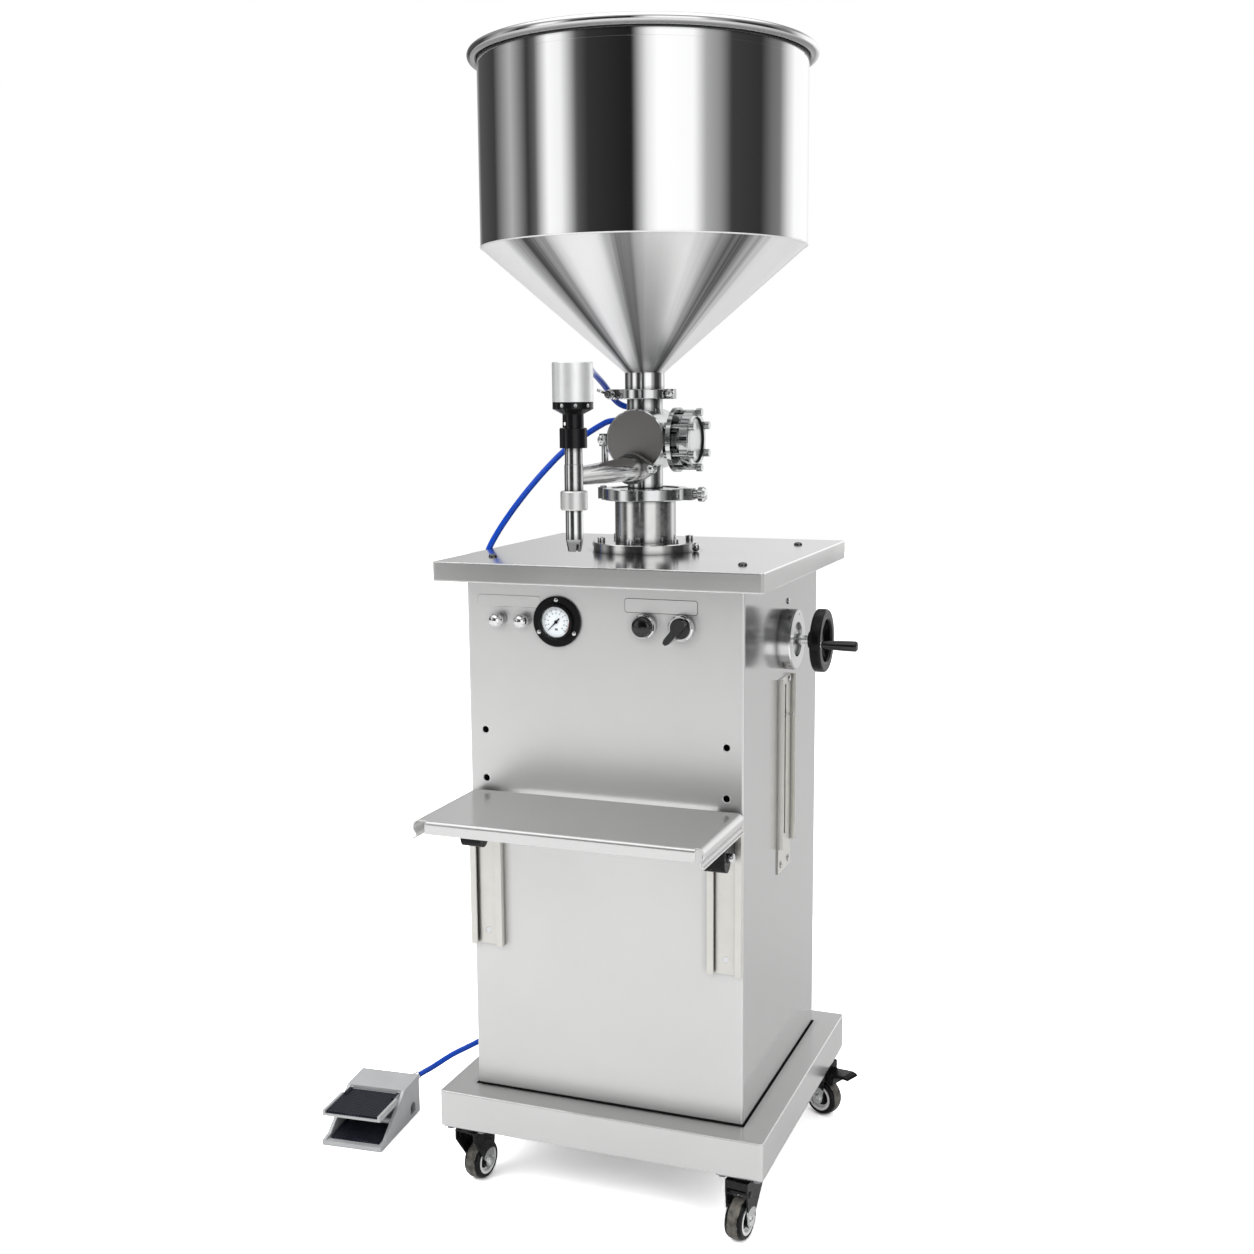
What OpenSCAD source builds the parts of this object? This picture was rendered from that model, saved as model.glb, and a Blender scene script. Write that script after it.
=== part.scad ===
// Pneumatic single-head piston filling machine on a wheeled base, with its foot valve.
// Millimetres. +Z is up, +Y is towards the rear, and z = 0 is the floor.

/* [Cabinet] */
// Width of the cabinet, side to side
cabinet_w = 358; // [350:1:400]
// Depth of the cabinet, front to back
cabinet_d = 343; // [330:1:380]
// Height of the cabinet shell
cabinet_h = 680; // [670:1:720]
// Thickness of the cabinet sheet
cabinet_t = 2; // [1.5:0.1:3]
// Width of the flanges folded inwards at the cabinet's top and bottom
cabinet_flange = 27; // [24:1:32]
// Overhang of the tabletop past the cabinet, left and right
table_over_x = 31; // [24:1:34]
// Overhang of the tabletop past the cabinet, front and back
table_over_y = 31; // [24:1:45]
// Height of the tabletop's folded skirt
table_skirt = 24; // [18:1:34]
// Thickness of the tabletop sheet
table_t = 2; // [1.5:0.1:3]
// Width of the door opening in the cabinet's back
door_w = 300; // [260:1:304]
// Height of the door opening in the cabinet's back
door_h = 570; // [500:1:590]
// Lap of the rear panel over the door opening
panel_lap = 14; // [12:1:18]

/* [Base] */
// Overhang of the base past the cabinet, left and right
base_over_x = 36; // [32:1:50]
// Overhang of the base past the cabinet, front and back
base_over_y = 38; // [34:1:50]
// Height of the base box
base_h = 47; // [40:1:60]
// Thickness of the base sheet
base_t = 2; // [1.5:0.1:3]
// Width of the base's bottom flange, which carries the casters
base_flange = 76; // [72:1:90]
// Thickness of the strip between the base and the cabinet
strip_t = 1.5; // [1:0.1:3]

/* [Casters] */
// Height from the floor to the underside of the base
caster_h = 88; // [86:1:100]
// Radius of a caster wheel
wheel_r = 26; // [22:0.5:27]
// Width of a caster wheel
wheel_w = 22; // [18:0.5:23]
// Distance from the swivel axis to the axle
caster_trail = 14; // [11:0.5:16]
// Side of the square caster plate
caster_plate = 60; // [56:1:64]
// Radius of a caster's axle bolt
axle_r = 4; // [3:0.1:5]
// Radius of a caster's kingpin
kingpin_r = 4; // [3:0.1:5]

/* [Hopper] */
// Outer radius of the hopper's shell
hopper_r = 206; // [170:1:230]
// Height of the hopper's straight shell
hopper_shell_h = 230; // [150:1:300]
// Height of the hopper's cone
hopper_cone_h = 156; // [130:1:200]
// Length of the hopper's neck
hopper_neck_h = 26.5; // [22:0.5:40]
// Outer radius of the hopper's neck
hopper_neck_r = 25.4; // [24.5:0.1:25.6]
// Wall of the hopper
hopper_t = 1.5; // [1:0.1:2.5]
// Radius of the rolled bead round the rim
rim_bead_r = 6.5; // [4:0.5:9]
// Offset of the filling head's axis from the cabinet's centre, to the right
head_x = -8; // [-12:0.5:0]
// Offset of the filling head's axis from the cabinet's centre, to the rear
head_y = 5; // [0:0.5:8]

/* [Metering unit] */
// Outer radius of the metering cylinder
meter_r = 39.5; // [37:0.5:41]
// Wall of the metering cylinder
meter_t = 3; // [2:0.1:4]
// Height of the metering cylinder's top joint above the tabletop
meter_rise = 73.5; // [60:0.5:90]
// Stroke of the metering piston
stroke = 180; // [120:1:190]
// Height of the metering piston
piston_h = 30; // [26:1:34]
// Radius of the metering piston's rod
rod_r = 8; // [6:0.5:9]
// Radius of the cylinder's foot flange
meter_flange_r = 68; // [64:0.5:72]
// Thickness of the cylinder's foot flange
meter_flange_t = 12; // [9:0.5:16]
// Bore radius of the drive cylinder
drive_bore = 33.5; // [28:0.5:34]
// Side of the drive cylinder's square caps
cap_side = 80; // [76:1:86]
// Running clearance on a radius
run_gap = 0.05; // [0.03:0.01:0.08]

/* [Filling valve] */
// Height of the valve's axis above the metering cylinder's top joint
valve_rise = 69; // [66:0.5:80]
// Radius of the valve's drum
valve_r = 39.5; // [37:0.5:40]
// Distance from the head's axis to the drum's front face
valve_front = 37; // [36:0.5:40]
// Distance from the head's axis to the drum's rear face
valve_rear = 36; // [34:0.5:40]
// Radius of the turning plug in the valve
rotor_r = 25; // [24:0.1:25.5]
// Height of the hopper joint above the valve's axis
stub_rise = 58; // [52:0.5:70]
// Side of the rotary actuator's square body
actuator_side = 60; // [50:1:66]
// Length of the rotary actuator's body
actuator_len = 56; // [40:1:70]
// Drop from the valve's axis to the outlet pipe's axis
outlet_drop = 35; // [34.5:0.5:38]

/* [Filling nozzle] */
// Reach from the head's axis to the nozzle's axis
nozzle_reach = 237; // [225:1:260]
// Outer radius of the nozzle's upper tube
nozzle_r = 10.2; // [10:0.1:10.6]
// Bore radius of the nozzle's pipes
nozzle_bore = 8; // [7.5:0.1:8.5]
// Travel of the nozzle's shut-off stem
stem_travel = 8; // [4:0.5:8]
// Radius of the nozzle's air cylinder
air_cylinder_r = 23.5; // [22.5:0.5:27]
// Height of the nozzle's air cylinder
air_cylinder_h = 45; // [42:1:60]

/* [Front panel] */
// Drop of the controls below the top of the cabinet
control_drop = 69.5; // [62:0.5:80]
// Radius of the pressure gauge's flange
gauge_r = 31; // [29:0.5:34]
// Position of the gauge, to the right of the cabinet's centre
gauge_x = -57.5; // [-58:0.5:-40]
// Position of the stop button
button_x = 56; // [45:0.5:60]
// Position of the selector switch
selector_x = 103; // [98:0.5:120]
// Position of the first speed knob
speed_x = -135; // [-140:0.5:-132]
// Spacing of the two speed knobs
speed_pitch = 33; // [26:0.5:34]
// Spacing of the spare rail holes, up and down
hole_pitch = 62; // [50:1:70]
// Radius of the spare rail holes
hole_r = 4.25; // [3:0.05:5]

/* [Shelf] */
// Height of the shelf's top above the floor
shelf_z = 531.5; // [500:0.5:545]
// Depth of the shelf, from its rear edge to its front
shelf_d = 156.5; // [130:0.5:180]
// Overhang of the shelf past the cabinet, left and right
shelf_over = 0; // [0:0.5:4]
// Offset of the shelf's centre, to the right
shelf_x = 4; // [-4:0.5:4]
// Thickness of the shelf's sheet
shelf_t = 1.5; // [1:0.1:2]
// Radius of the shelf's rolled side edges
shelf_roll_r = 9; // [7:0.5:10]
// Length of the shelf's rails
rail_len = 196; // [192:1:210]
// Width of a shelf rail
rail_w = 43; // [40:0.5:44]

/* [Stroke drive] */
// Drop of the handwheel's shaft below the top of the cabinet
wheel_drop = 105.5; // [100:0.5:116]
// Outer radius of the handwheel's rim
handwheel_r = 40; // [36:0.5:46]
// Width of the handwheel's rim, along its shaft
handwheel_rim_w = 14; // [11:0.5:16]
// Depth of the handwheel's rim, towards its centre
handwheel_rim_d = 13.5; // [10:0.5:16]
// Length of the handwheel's grip
grip_len = 46; // [35:1:60]
// Radius of the bearing housing on the cabinet's side
housing_r = 38.5; // [32:0.5:40]
// Thickness of the bearing housing
housing_t = 17.5; // [12:0.5:22]
// Travel of the stroke block upwards from its place at rest
block_up = 30; // [10:1:34]
// Travel of the stroke block downwards from its place at rest
block_down = 150; // [100:1:154]
// Width of the scale channel
scale_w = 58; // [50:1:64]
// Depth of the scale channel's flanges
scale_flange = 8.5; // [5:0.5:10]

/* [Foot valve] */
// Width of the foot valve
foot_w = 88; // [84:1:110]
// Length of the foot valve
foot_l = 132; // [128:1:150]
// Height of the foot valve's housing
foot_h = 54; // [52:1:60]
// Place of the foot valve's centre, to the right of the cabinet's centre
foot_x = -388.5; // [-440:0.5:-385]
// Place of the foot valve's centre, to the rear of the cabinet's centre
foot_y = -91; // [-120:1:-85]
// Turn of the foot valve about the upright axis, in degrees
foot_turn = 5; // [0:1:8]
// Radius of the air hoses
hose_r = 4; // [3:0.5:4.5]

/* [Hidden] */
$fn = 64;

// Colours
steel = [0.78, 0.79, 0.80];
grey_face = [0.42, 0.42, 0.42];
aluminium = [0.83, 0.84, 0.85];
black = [0.06, 0.06, 0.06];
chrome = [0.9, 0.9, 0.92];
white = [0.95, 0.95, 0.96];
cream = [0.86, 0.86, 0.82];
dark_zinc = [0.3, 0.3, 0.32];
blue = [0.05, 0.2, 0.85];

// Clearances and screw sizes
past = 1;
hair = 0.3;
m3_r = 1.5;
m4_r = 2;
m5_r = 2.5;
m6_r = 3;
m8_r = 4;
screw_gap = 0.2;
pin_r = 3;
sides = [-1, 1];

// Heights of the stack, from the floor up
base_top = caster_h + base_h;
cab_z = base_top + strip_t;
cab_top = cab_z + cabinet_h;
cab_mid = cab_z + cabinet_h / 2;
table_top = cab_top + table_t;
wall_x = cabinet_w / 2;
wall_y = cabinet_d / 2;
inner_x = wall_x - cabinet_t;
inner_y = wall_y - cabinet_t;
table_w = cabinet_w + 2 * table_over_x;
table_d = cabinet_d + 2 * table_over_y;
base_w = cabinet_w + 2 * base_over_x;
base_d = cabinet_d + 2 * base_over_y;
corner_r = 3;

// Casters: their places, the directions they trail in, and their heights
caster_x = base_w / 2 - caster_plate / 2 - 1;
caster_y = base_d / 2 - caster_plate / 2 - 3;
caster_places = [[-1, -1], [1, -1], [1, 1], [-1, 1]];
caster_trails = [82, -98, -23, 100];
plate_t = 2.5;
plate_z = caster_h - plate_t;
plate_bolt = caster_plate / 2 - 8;
crown_r = 22;
crown_top = plate_z - hair;
crown_low = crown_top - 9;
fork_t = 2;
fork_gap = wheel_w + 4;
axle_z = wheel_r;
axle_half = fork_gap / 2 + fork_t;
pedal_half = fork_gap / 2 - 1;
pedal_reach = 46;
pedal_u = caster_trail + 4;
pedal_z = axle_z + wheel_r + 9.2;
fork_front = pedal_u + 8;
bridge_low = pedal_z + 7;

// Bolts that join the base, the cabinet and the tabletop
hold_x = wall_x - cabinet_flange / 2;
hold_y = wall_y - cabinet_flange / 2 - 30;
table_bolt_x = wall_x - 15.5;
table_bolt_y = wall_y - 43.5;
rear_screw_x = door_w / 2 + panel_lap / 2;
rear_screw_z = door_h / 2 + panel_lap / 2;
rear_levels = [-1, -1 / 3, 1 / 3, 1];

// Metering cylinder and its joints
meter_bore = meter_r - meter_t;
joint_z = table_top + meter_rise;
gasket_t = 1;
ferrule_t = 5.7;
ferrule_r = meter_r + 8.5;
meter_clamp_r = ferrule_r + 7.2;
meter_clamp_h = 15;
flange_pcd = meter_flange_r - 10;
flange_angles = [30:60:330];
piston_top = joint_z - 4;
piston_z = piston_top - piston_h;
tube_low = piston_z - stroke - 8;

// Drive under the tabletop
mount_side = 150;
mount_t = 8;
mount_z = cab_top - mount_t;
hanger = 50;
hanger_r = 6;
frame_t = 10;
frame_z = tube_low - 70;
frame_side = 2 * hanger + 30;
nut_h = 10;
drive_rod_r = rod_r + 2;
coupling_r = 15;
coupling_h = 38;
coupling_z = frame_z + frame_t + 3 + stroke;
drive_wall = 2.5;
drive_piston_h = 15;
cap_h = 25;
barrel_top = frame_z - cap_h;
barrel_len = stroke + drive_piston_h + 4;
barrel_low = barrel_top - barrel_len;
cap_low = barrel_low - cap_h;
drive_piston_z = barrel_top - 2 - drive_piston_h;
tie_bar = cap_side / 2 - 8;
tie_r = 4;
port_r = 5.5;

// Filling valve
valve_z = joint_z + valve_rise;
stub_z = valve_z + stub_rise;
outlet_z = valve_z - outlet_drop;
rotor_bore = 17;
rotor_front = 8;
stem_r = 8;
stub_r = 23;
stub_bore = 19;
hopper_ferrule_r = hopper_neck_r + 3.1;
hopper_ferrule_t = 3;
hopper_clamp_r = hopper_ferrule_r + 4.5;
hopper_clamp_h = 12.6;
hopper_bolt_x = hopper_clamp_r + 3.5;
wing_x = -hopper_clamp_r - 12;
wing_tilt = 25;
cover_t = 8;
actuator_gap = 12;
cover_y = valve_rear + gasket_t;
actuator_y = cover_y + cover_t + actuator_gap;
actuator_post = actuator_side / 2 - 6;
side_bore = 20;
side_r = 24;
side_lip_r = 30;
side_flange_x = valve_r + 2;
side_flange_r = 41;
side_flange_t = 6;
side_face = side_flange_x + side_flange_t + 8.5;
cap_face = side_face + gasket_t;
cap_t = 13.5;
cap_r = 37;
swing_pcd = 35;
swing_angles = [0:60:300];
outlet_bore = 9;
outlet_r = 13;
ear_plate_r = 20;
ear_x = 27;
ear_r = 6;
ear_t = 4;
outlet_joint = valve_front + 13;
latch_x = -valve_r - 10.5;
latch_y = -14;

// Filling nozzle
tee_r = nozzle_r + 0.6;
tee_low = outlet_z - 26;
tee_top = outlet_z + 14;
lock_z = outlet_z + 33;
lock_h = 23;
adapter_z = lock_z + lock_h + hair;
adapter_neck = 15;
adapter_flare = 6;
tube_top = adapter_z + 8.5;
rim_low = adapter_z + adapter_neck + adapter_flare;
air_z = rim_low + 8;
air_bore = air_cylinder_r - 3.5;
spigot_h = 3;
air_roof = air_z + air_cylinder_h - 7;
air_port_z = air_roof - 5.3;
spring_z = air_z + spigot_h;
spring_h = stem_travel + 10;
stem_piston_h = 8;
stem_piston_z = spring_z + spring_h + 0.1;
nozzle_stem_r = 3;
nut_z = outlet_z - 38;
union_h = 22;
union_r = 15.8;
collar_r = 13;
tip_top = tee_low - 0.5;
tip_low = outlet_z - 86;
tip_r = 7.6;
seat_z = tip_low + 13;
seat_h = 6;
plug_r = 5;

// Hopper
neck_z = stub_z + gasket_t / 2;
cone_z = neck_z + hopper_neck_h;
shell_z = cone_z + hopper_cone_h;
rim_z = shell_z + hopper_shell_h;
rim_r = hopper_r - hopper_t / 2 + rim_bead_r;

// Front panel
control_z = cab_top - control_drop;
gauge_hole = 20;
gauge_flange_t = 3.5;
gauge_bezel_r = 22;
gauge_bezel_h = 5;
dial_r = 18;
gauge_screw_r = gauge_r - 4.5;
gauge_angles = [90, 210, 330];
switch_r = 10.8;
bezel_len = 10;
button_bezel_r = 14.5;
button_r = 12.15;
selector_bezel_r = 15.5;
switch_stem_r = 5;
button_travel = 4;
speed_bush_r = 4.9;
speed_stem_r = 2.5;

// Shelf and its rails
shelf_rear = wall_y + 11.5;
shelf_flange_r = 4;
shelf_flange_h = 15;
shelf_w = cabinet_w + 2 * shelf_over;
shelf_flat = shelf_w / 2 - shelf_roll_r;
roll_lip_r = 4;
roll_depth = shelf_roll_r + (shelf_roll_r + roll_lip_r) * sin(45) + roll_lip_r + shelf_t;
rail_x = wall_x - rail_w / 2;
roll_len = shelf_d - 5.5;
shelf_low = shelf_z - shelf_t;
rail_depth = 10;
rail_t = 2.5;
rail_gap = 27;
rail_top = shelf_z - 8;
rail_low = rail_top - rail_len;
rail_screws = [rail_low + 18, rail_top - 22];
spare_z = shelf_z + 12.5;
bracket_w = 27;
bracket_y = wall_y + rail_depth + hair;
bracket_reach = 40;
bracket_low = shelf_low - 64;
slider_low = shelf_low - 50;
slider_top = rail_top - 2;
clamp_y = bracket_y + 25;
clamp_z = shelf_low - 47;
shelf_clamp_r = 2.5;

// Stroke drive: the handwheel's shaft, the mitre pair and the lead screw
wheel_z = cab_top - wheel_drop;
shaft_r = 7;
housing_x = wall_x + housing_t;
handwheel_x = housing_x + 31;
rim_mid = handwheel_r - handwheel_rim_d / 2;
grip_x = handwheel_x + handwheel_rim_w / 2;
housing_recess = 4;
grip_pin_r = 3;
screw_x = inner_x - 27;
screw_r = 6;
gear_in = 8;
gear_out = 16;
gear_wall = 5;
gear_half = 21;
gear_depth = 25;
block_w = 24;
block_h = 24;
pointer_z = wheel_z - 97;
guide_y = 18;
guide_r = 4;
slot_w = 8;
slot_low = pointer_z - block_down - 8;
slot_high = pointer_z + block_up + 8;
block_z = pointer_z - block_h / 2;
bracket_top = block_z - block_down - 15;
screw_bracket_t = 12;
screw_low = bracket_top - screw_bracket_t + 5;
scale_foot = 33;
scale_t = 2;
scale_low = slot_low - 14;
scale_high = slot_high + 10;
scale_screw_y = scale_w / 2 - 12;
scale_levels = [scale_low - scale_foot + 10, scale_high - 5];
sensor_z = pointer_z - 65;
sensor_w = 10;

// Foot valve, in its own frame
cheek = 5;
pedal_gap = foot_w / 2 - cheek - hair;
foot_top_y = foot_l / 2 - 50;
foot_nose_y = -foot_l / 2 + 16;
pedal_pin_y = foot_top_y - 6;
pedal_pin_z = foot_h - 12;
foot_pedal_top = foot_h - 4;
foot_deck = 5;
foot_stop_y = foot_top_y - 36;
foot_stop_z = 23;
foot_stop_r = 3.5;
arch_r = 8.5;
arch_y = foot_l / 2 - 23.5;
arch_z = 14;

// Ports: on the left side for the hoses, and at the back for the air supply
valve_port_drop = 136.5;
valve_port = [-wall_x, -42, cab_top - valve_port_drop];
foot_port = [-wall_x, 80, cab_z + 28.5];
inlet_port = [110, wall_y, cab_z + 28.5];
port_hole = 6.2;
fitting_r = 6;

// Routes of the three hoses in the machine's frame: points out from one fitting, then back to the other
elbow_arm = 17;
foot_elbow = [0.79, 0.42, 0.445];
foot_tip = [32.4, foot_l / 2 + 9, foot_h - 10] + 9 * foot_elbow;
nozzle_from = [head_x, head_y - nozzle_reach + air_cylinder_r + 11.5, air_port_z];
nozzle_to = [head_x - 20 - elbow_arm, head_y + actuator_y + 22 - elbow_arm,
    valve_z + actuator_side / 2 + 12];
valve_from = [head_x - actuator_side / 2 - 22, head_y + actuator_y + 8, valve_z + 23];
valve_to = valve_port + [-13, 0, 10];
foot_from = [foot_x + foot_tip[0] * cos(foot_turn) - foot_tip[1] * sin(foot_turn),
    foot_y + foot_tip[0] * sin(foot_turn) + foot_tip[1] * cos(foot_turn), foot_tip[2]];
foot_to = foot_port + [-20, 0, 0];
nozzle_route = route(nozzle_from, [[0, 0, 0], [0, 15, 0], [-18, 65, 4], [-40, 115, 7]],
    nozzle_to, [[-17, -103, 43], [-21, -59, 29], [-18, -25, 8], [-10, -10, 0], [0, 0, 0]]);
valve_route = route(valve_from, [[0, 0, 0], [-15, 0, 0], [-32, -8, -6], [-75, -38, -41]],
    valve_to, [[12, 33, 191], [-24, 11, 128], [-28, 4, 85], [-14, 0, 42], [0, 0, 16], [0, 0, 0]]);
foot_route = route(foot_from, [[0, 0, 0], [17, 11, 10], [42, 24, 27], [74, 40, 44]],
    foot_to, [[-51, -34, -53], [-29, -18, -25], [-14, 0, 0], [0, 0, 0]]);

// The machine stands so that the whole object's box is centred on the origin
left_reach = foot_w / 2 * cos(foot_turn) + foot_l / 2 * sin(foot_turn) - foot_x;
right_reach = grip_x + grip_len;
front_reach = shelf_rear + shelf_d;
rear_reach = max(head_y + rim_r + rim_bead_r, caster_y + (pedal_u + pedal_reach)
    * sin(caster_trails[3]) - pedal_half * cos(caster_trails[3]));
machine_x = (left_reach - right_reach) / 2;
machine_y = (front_reach - rear_reach) / 2;

// The points of a hose's route, from the places of the fittings at its two ends
function route(from, out, to, back) = concat([for (p = out) from + p], [for (p = back) to + p]);

module machine() {
    translate([machine_x, machine_y, 0]) children();
}

module head() {
    machine() translate([head_x, head_y, 0]) children();
}

module nozzle_axis() {
    head() translate([0, -nozzle_reach, 0]) children();
}

// A rectangle with round corners
module round_rect(w, d, r) {
    square([w - 2 * r, d], center = true);
    square([w, d - 2 * r], center = true);
    for (x = sides, y = sides) translate([x * (w / 2 - r), y * (d / 2 - r)]) circle(r);
}

module round_plate(w, d, h, r) {
    linear_extrude(h) round_rect(w, d, r);
}

// A folded tray of sheet, closed on top, with its lower edge turned inwards
module tray(w, d, h, t, lip) {
    difference() {
        round_plate(w, d, h, corner_r);
        translate([0, 0, t]) round_plate(w - 2 * t, d - 2 * t, h - 2 * t, 1);
        translate([0, 0, -past]) round_plate(w - 2 * lip, d - 2 * lip, t + 2 * past, 2);
    }
}

// Cylinders along X and Y, whose low end is at the origin
module cyl_x(h, r) {
    rotate([0, 90, 0]) cylinder(h = h, r = r);
}

module cyl_y(h, r) {
    rotate([-90, 0, 0]) cylinder(h = h, r = r);
}

// A cut of radius r that goes right through a sheet t thick from z = 0
module through(t, r) {
    translate([0, 0, -past]) cylinder(h = t + 2 * past, r = r);
}

module ring(h, r, bore) {
    difference() {
        cylinder(h = h, r = r);
        through(h, bore);
    }
}

// A rod or knob with one chamfered end
module chamfered(h, r, c) {
    rotate_extrude() polygon([[0, 0], [r, 0], [r, h - c], [r - c, h], [0, h]]);
}

module hex_nut(across, h, bore) {
    difference() {
        cylinder(h = h, r = across / sqrt(3), $fn = 6);
        through(h, bore);
    }
}

// A screw with a domed head on its seat at the origin, and its shank below
module dome_screw(head_r, head_h, shank_r, shank_l) {
    dome = [for (a = [0:15:90]) [head_r * cos(a), head_h * (0.3 + 0.7 * sin(a))]];
    rotate_extrude() polygon(concat([[0, -shank_l], [shank_r, -shank_l], [shank_r, 0],
        [head_r, 0]], dome));
}

// A socket screw on its seat at the origin
module socket_screw(head_r, head_h, shank_r, shank_l) {
    difference() {
        union() {
            chamfered(head_h, head_r, 0.6);
            translate([0, 0, -shank_l]) cylinder(h = shank_l + 0.1, r = shank_r);
        }
        translate([0, 0, head_h * 0.45]) cylinder(h = head_h, r = head_r * 0.5, $fn = 6);
    }
}

module at_corners(x, y) {
    for (i = sides, j = sides) translate([i * x, j * y, 0]) children();
}

// Base and casters

module caster_at(i) {
    machine() translate([caster_places[i][0] * caster_x, caster_places[i][1] * caster_y, 0])
        children();
}

module caster_turned(i) {
    caster_at(i) rotate([0, 0, caster_trails[i]]) children();
}

module each_caster() {
    for (i = [0:3]) caster_at(i) children();
}

module base_pan() {
    color(steel) difference() {
        machine() translate([0, 0, caster_h]) tray(base_w, base_d, base_h, base_t, base_flange);
        each_caster() translate([0, 0, caster_h]) {
            through(base_t, kingpin_r + 6);
            at_corners(plate_bolt, plate_bolt) through(base_t, m6_r + screw_gap);
        }
        machine() translate([0, 0, base_top - base_t]) at_corners(hold_x, hold_y)
            through(base_t, m8_r + screw_gap);
    }
    color(black) machine() translate([0, 0, base_top]) difference() {
        round_plate(cabinet_w + 2, cabinet_d + 2, strip_t, corner_r + 1);
        translate([0, 0, -past]) round_plate(cabinet_w - 2 * cabinet_flange,
            cabinet_d - 2 * cabinet_flange, strip_t + 2 * past, 2);
        at_corners(hold_x, hold_y) through(strip_t, m8_r + screw_gap);
    }
}

module caster_plates() {
    color(dark_zinc) each_caster() {
        difference() {
            translate([0, 0, plate_z]) round_plate(caster_plate, caster_plate, plate_t, 4);
            translate([0, 0, plate_z]) at_corners(plate_bolt, plate_bolt)
                through(plate_t, m6_r + screw_gap);
        }
        translate([0, 0, crown_low - 6]) cylinder(h = 6 - hair, r = kingpin_r + 3);
        translate([0, 0, crown_low - 3]) cylinder(h = plate_z - crown_low + 4, r = kingpin_r);
        translate([0, 0, caster_h - 0.1]) cylinder(h = base_t + 1, r = kingpin_r + 3);
        at_corners(plate_bolt, plate_bolt) {
            translate([0, 0, plate_z - 4]) cylinder(h = 4, r = m6_r + 2.5, $fn = 6);
            translate([0, 0, plate_z - 1]) cylinder(h = plate_t + base_t + 7, r = m6_r);
            translate([0, 0, caster_h + base_t]) hex_nut(10, 5, m6_r);
        }
    }
}

module fork_leg() {
    rotate([90, 0, 0]) linear_extrude(fork_t) difference() {
        union() {
            polygon([[-crown_r, crown_low + fork_t], [fork_front, crown_low + fork_t],
                [fork_front, pedal_z + 1], [caster_trail + 8, axle_z],
                [caster_trail - 8, axle_z], [-crown_r, crown_low - 12]]);
            translate([caster_trail, axle_z]) circle(8);
        }
        translate([caster_trail, axle_z]) circle(axle_r + run_gap);
        translate([pedal_u, pedal_z]) circle(pin_r + run_gap);
    }
}

// A bolt along Y, centred, with a domed head at each end
module double_bolt(half, r, head_r, head_h) {
    for (a = [90, -90]) rotate([a, 0, 0]) translate([0, 0, half])
        dome_screw(head_r, head_h, r, half);
}

module caster_fork(i) {
    color(black) caster_turned(i) {
        difference() {
            union() {
                translate([0, 0, crown_low]) cylinder(h = crown_top - crown_low, r = crown_r);
                translate([-crown_r, -axle_half, crown_low])
                    cube([fork_front + crown_r, 2 * axle_half, fork_t]);
                translate([fork_front - fork_t, -axle_half, bridge_low])
                    cube([fork_t, 2 * axle_half, crown_low + fork_t - bridge_low]);
                translate([0, axle_half, 0]) fork_leg();
                translate([0, fork_t - axle_half, 0]) fork_leg();
            }
            translate([0, 0, crown_low]) through(crown_top - crown_low, kingpin_r + run_gap);
        }
    }
    color(chrome) caster_turned(i) {
        translate([caster_trail, 0, axle_z]) double_bolt(axle_half, axle_r, axle_r + 3, 4);
        translate([pedal_u, 0, pedal_z]) double_bolt(axle_half, pin_r, pin_r + 1.5, 1.5);
    }
}

module caster_wheel(i) {
    core_r = wheel_r - 7;
    hub_half = fork_gap / 2 - hair;
    tread = [for (a = [-90:15:90]) [wheel_r - 4 + 4 * cos(a), wheel_w / 2 * sin(a)]];
    caster_turned(i) translate([caster_trail, 0, axle_z]) rotate([90, 0, 0]) {
        color(black) rotate_extrude()
            polygon(concat([[core_r, -wheel_w / 2]], tread, [[core_r, wheel_w / 2]]));
        color(white) rotate_extrude() polygon([[axle_r + run_gap, -hub_half], [9, -hub_half],
            [9, -6], [core_r - 4, -6], [core_r - 4, -wheel_w / 2], [core_r, -wheel_w / 2],
            [core_r, wheel_w / 2], [core_r - 4, wheel_w / 2], [core_r - 4, 6], [9, 6],
            [9, hub_half], [axle_r + run_gap, hub_half]]);
    }
}

module brake_pedal(i) {
    color(black) caster_turned(i) translate([pedal_u, pedal_half, pedal_z]) rotate([90, 0, 0])
        linear_extrude(2 * pedal_half) difference() {
            union() {
                circle(6);
                polygon([[0, 6], [12, 6.2], [pedal_reach - 8, 9.5], [pedal_reach - 2, 8],
                    [pedal_reach, 5], [pedal_reach - 8, 5], [22, 2],
                    [20, -9], [15, -12], [11, -3], [0, -6]]);
            }
            circle(pin_r + run_gap);
        }
}

// Cabinet

module on_front(x, z) {
    translate([x, -wall_y, z]) children();
}

module at_rail_screws(levels) {
    for (i = sides, z = levels) on_front(i * rail_x, z) children();
}

module at_rear_screws() {
    for (i = sides, f = rear_levels)
        translate([i * rear_screw_x, wall_y, cab_mid + f * rear_screw_z]) children();
}

module at_scale_screws() {
    for (i = sides, z = scale_levels)
        translate([wall_x, head_y + i * scale_screw_y, z]) children();
}

module at_side_screw() {
    translate([wall_x, head_y + 16, wheel_z + 46]) children();
}

module at_gauge_screws() {
    for (a = gauge_angles) on_front(gauge_x, control_z) rotate([0, -a, 0])
        translate([gauge_screw_r, 0, 0]) children();
}

module slot(depth) {
    translate([0, -slot_w / 2, slot_low]) cube([depth, slot_w, slot_high - slot_low]);
}

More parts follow.
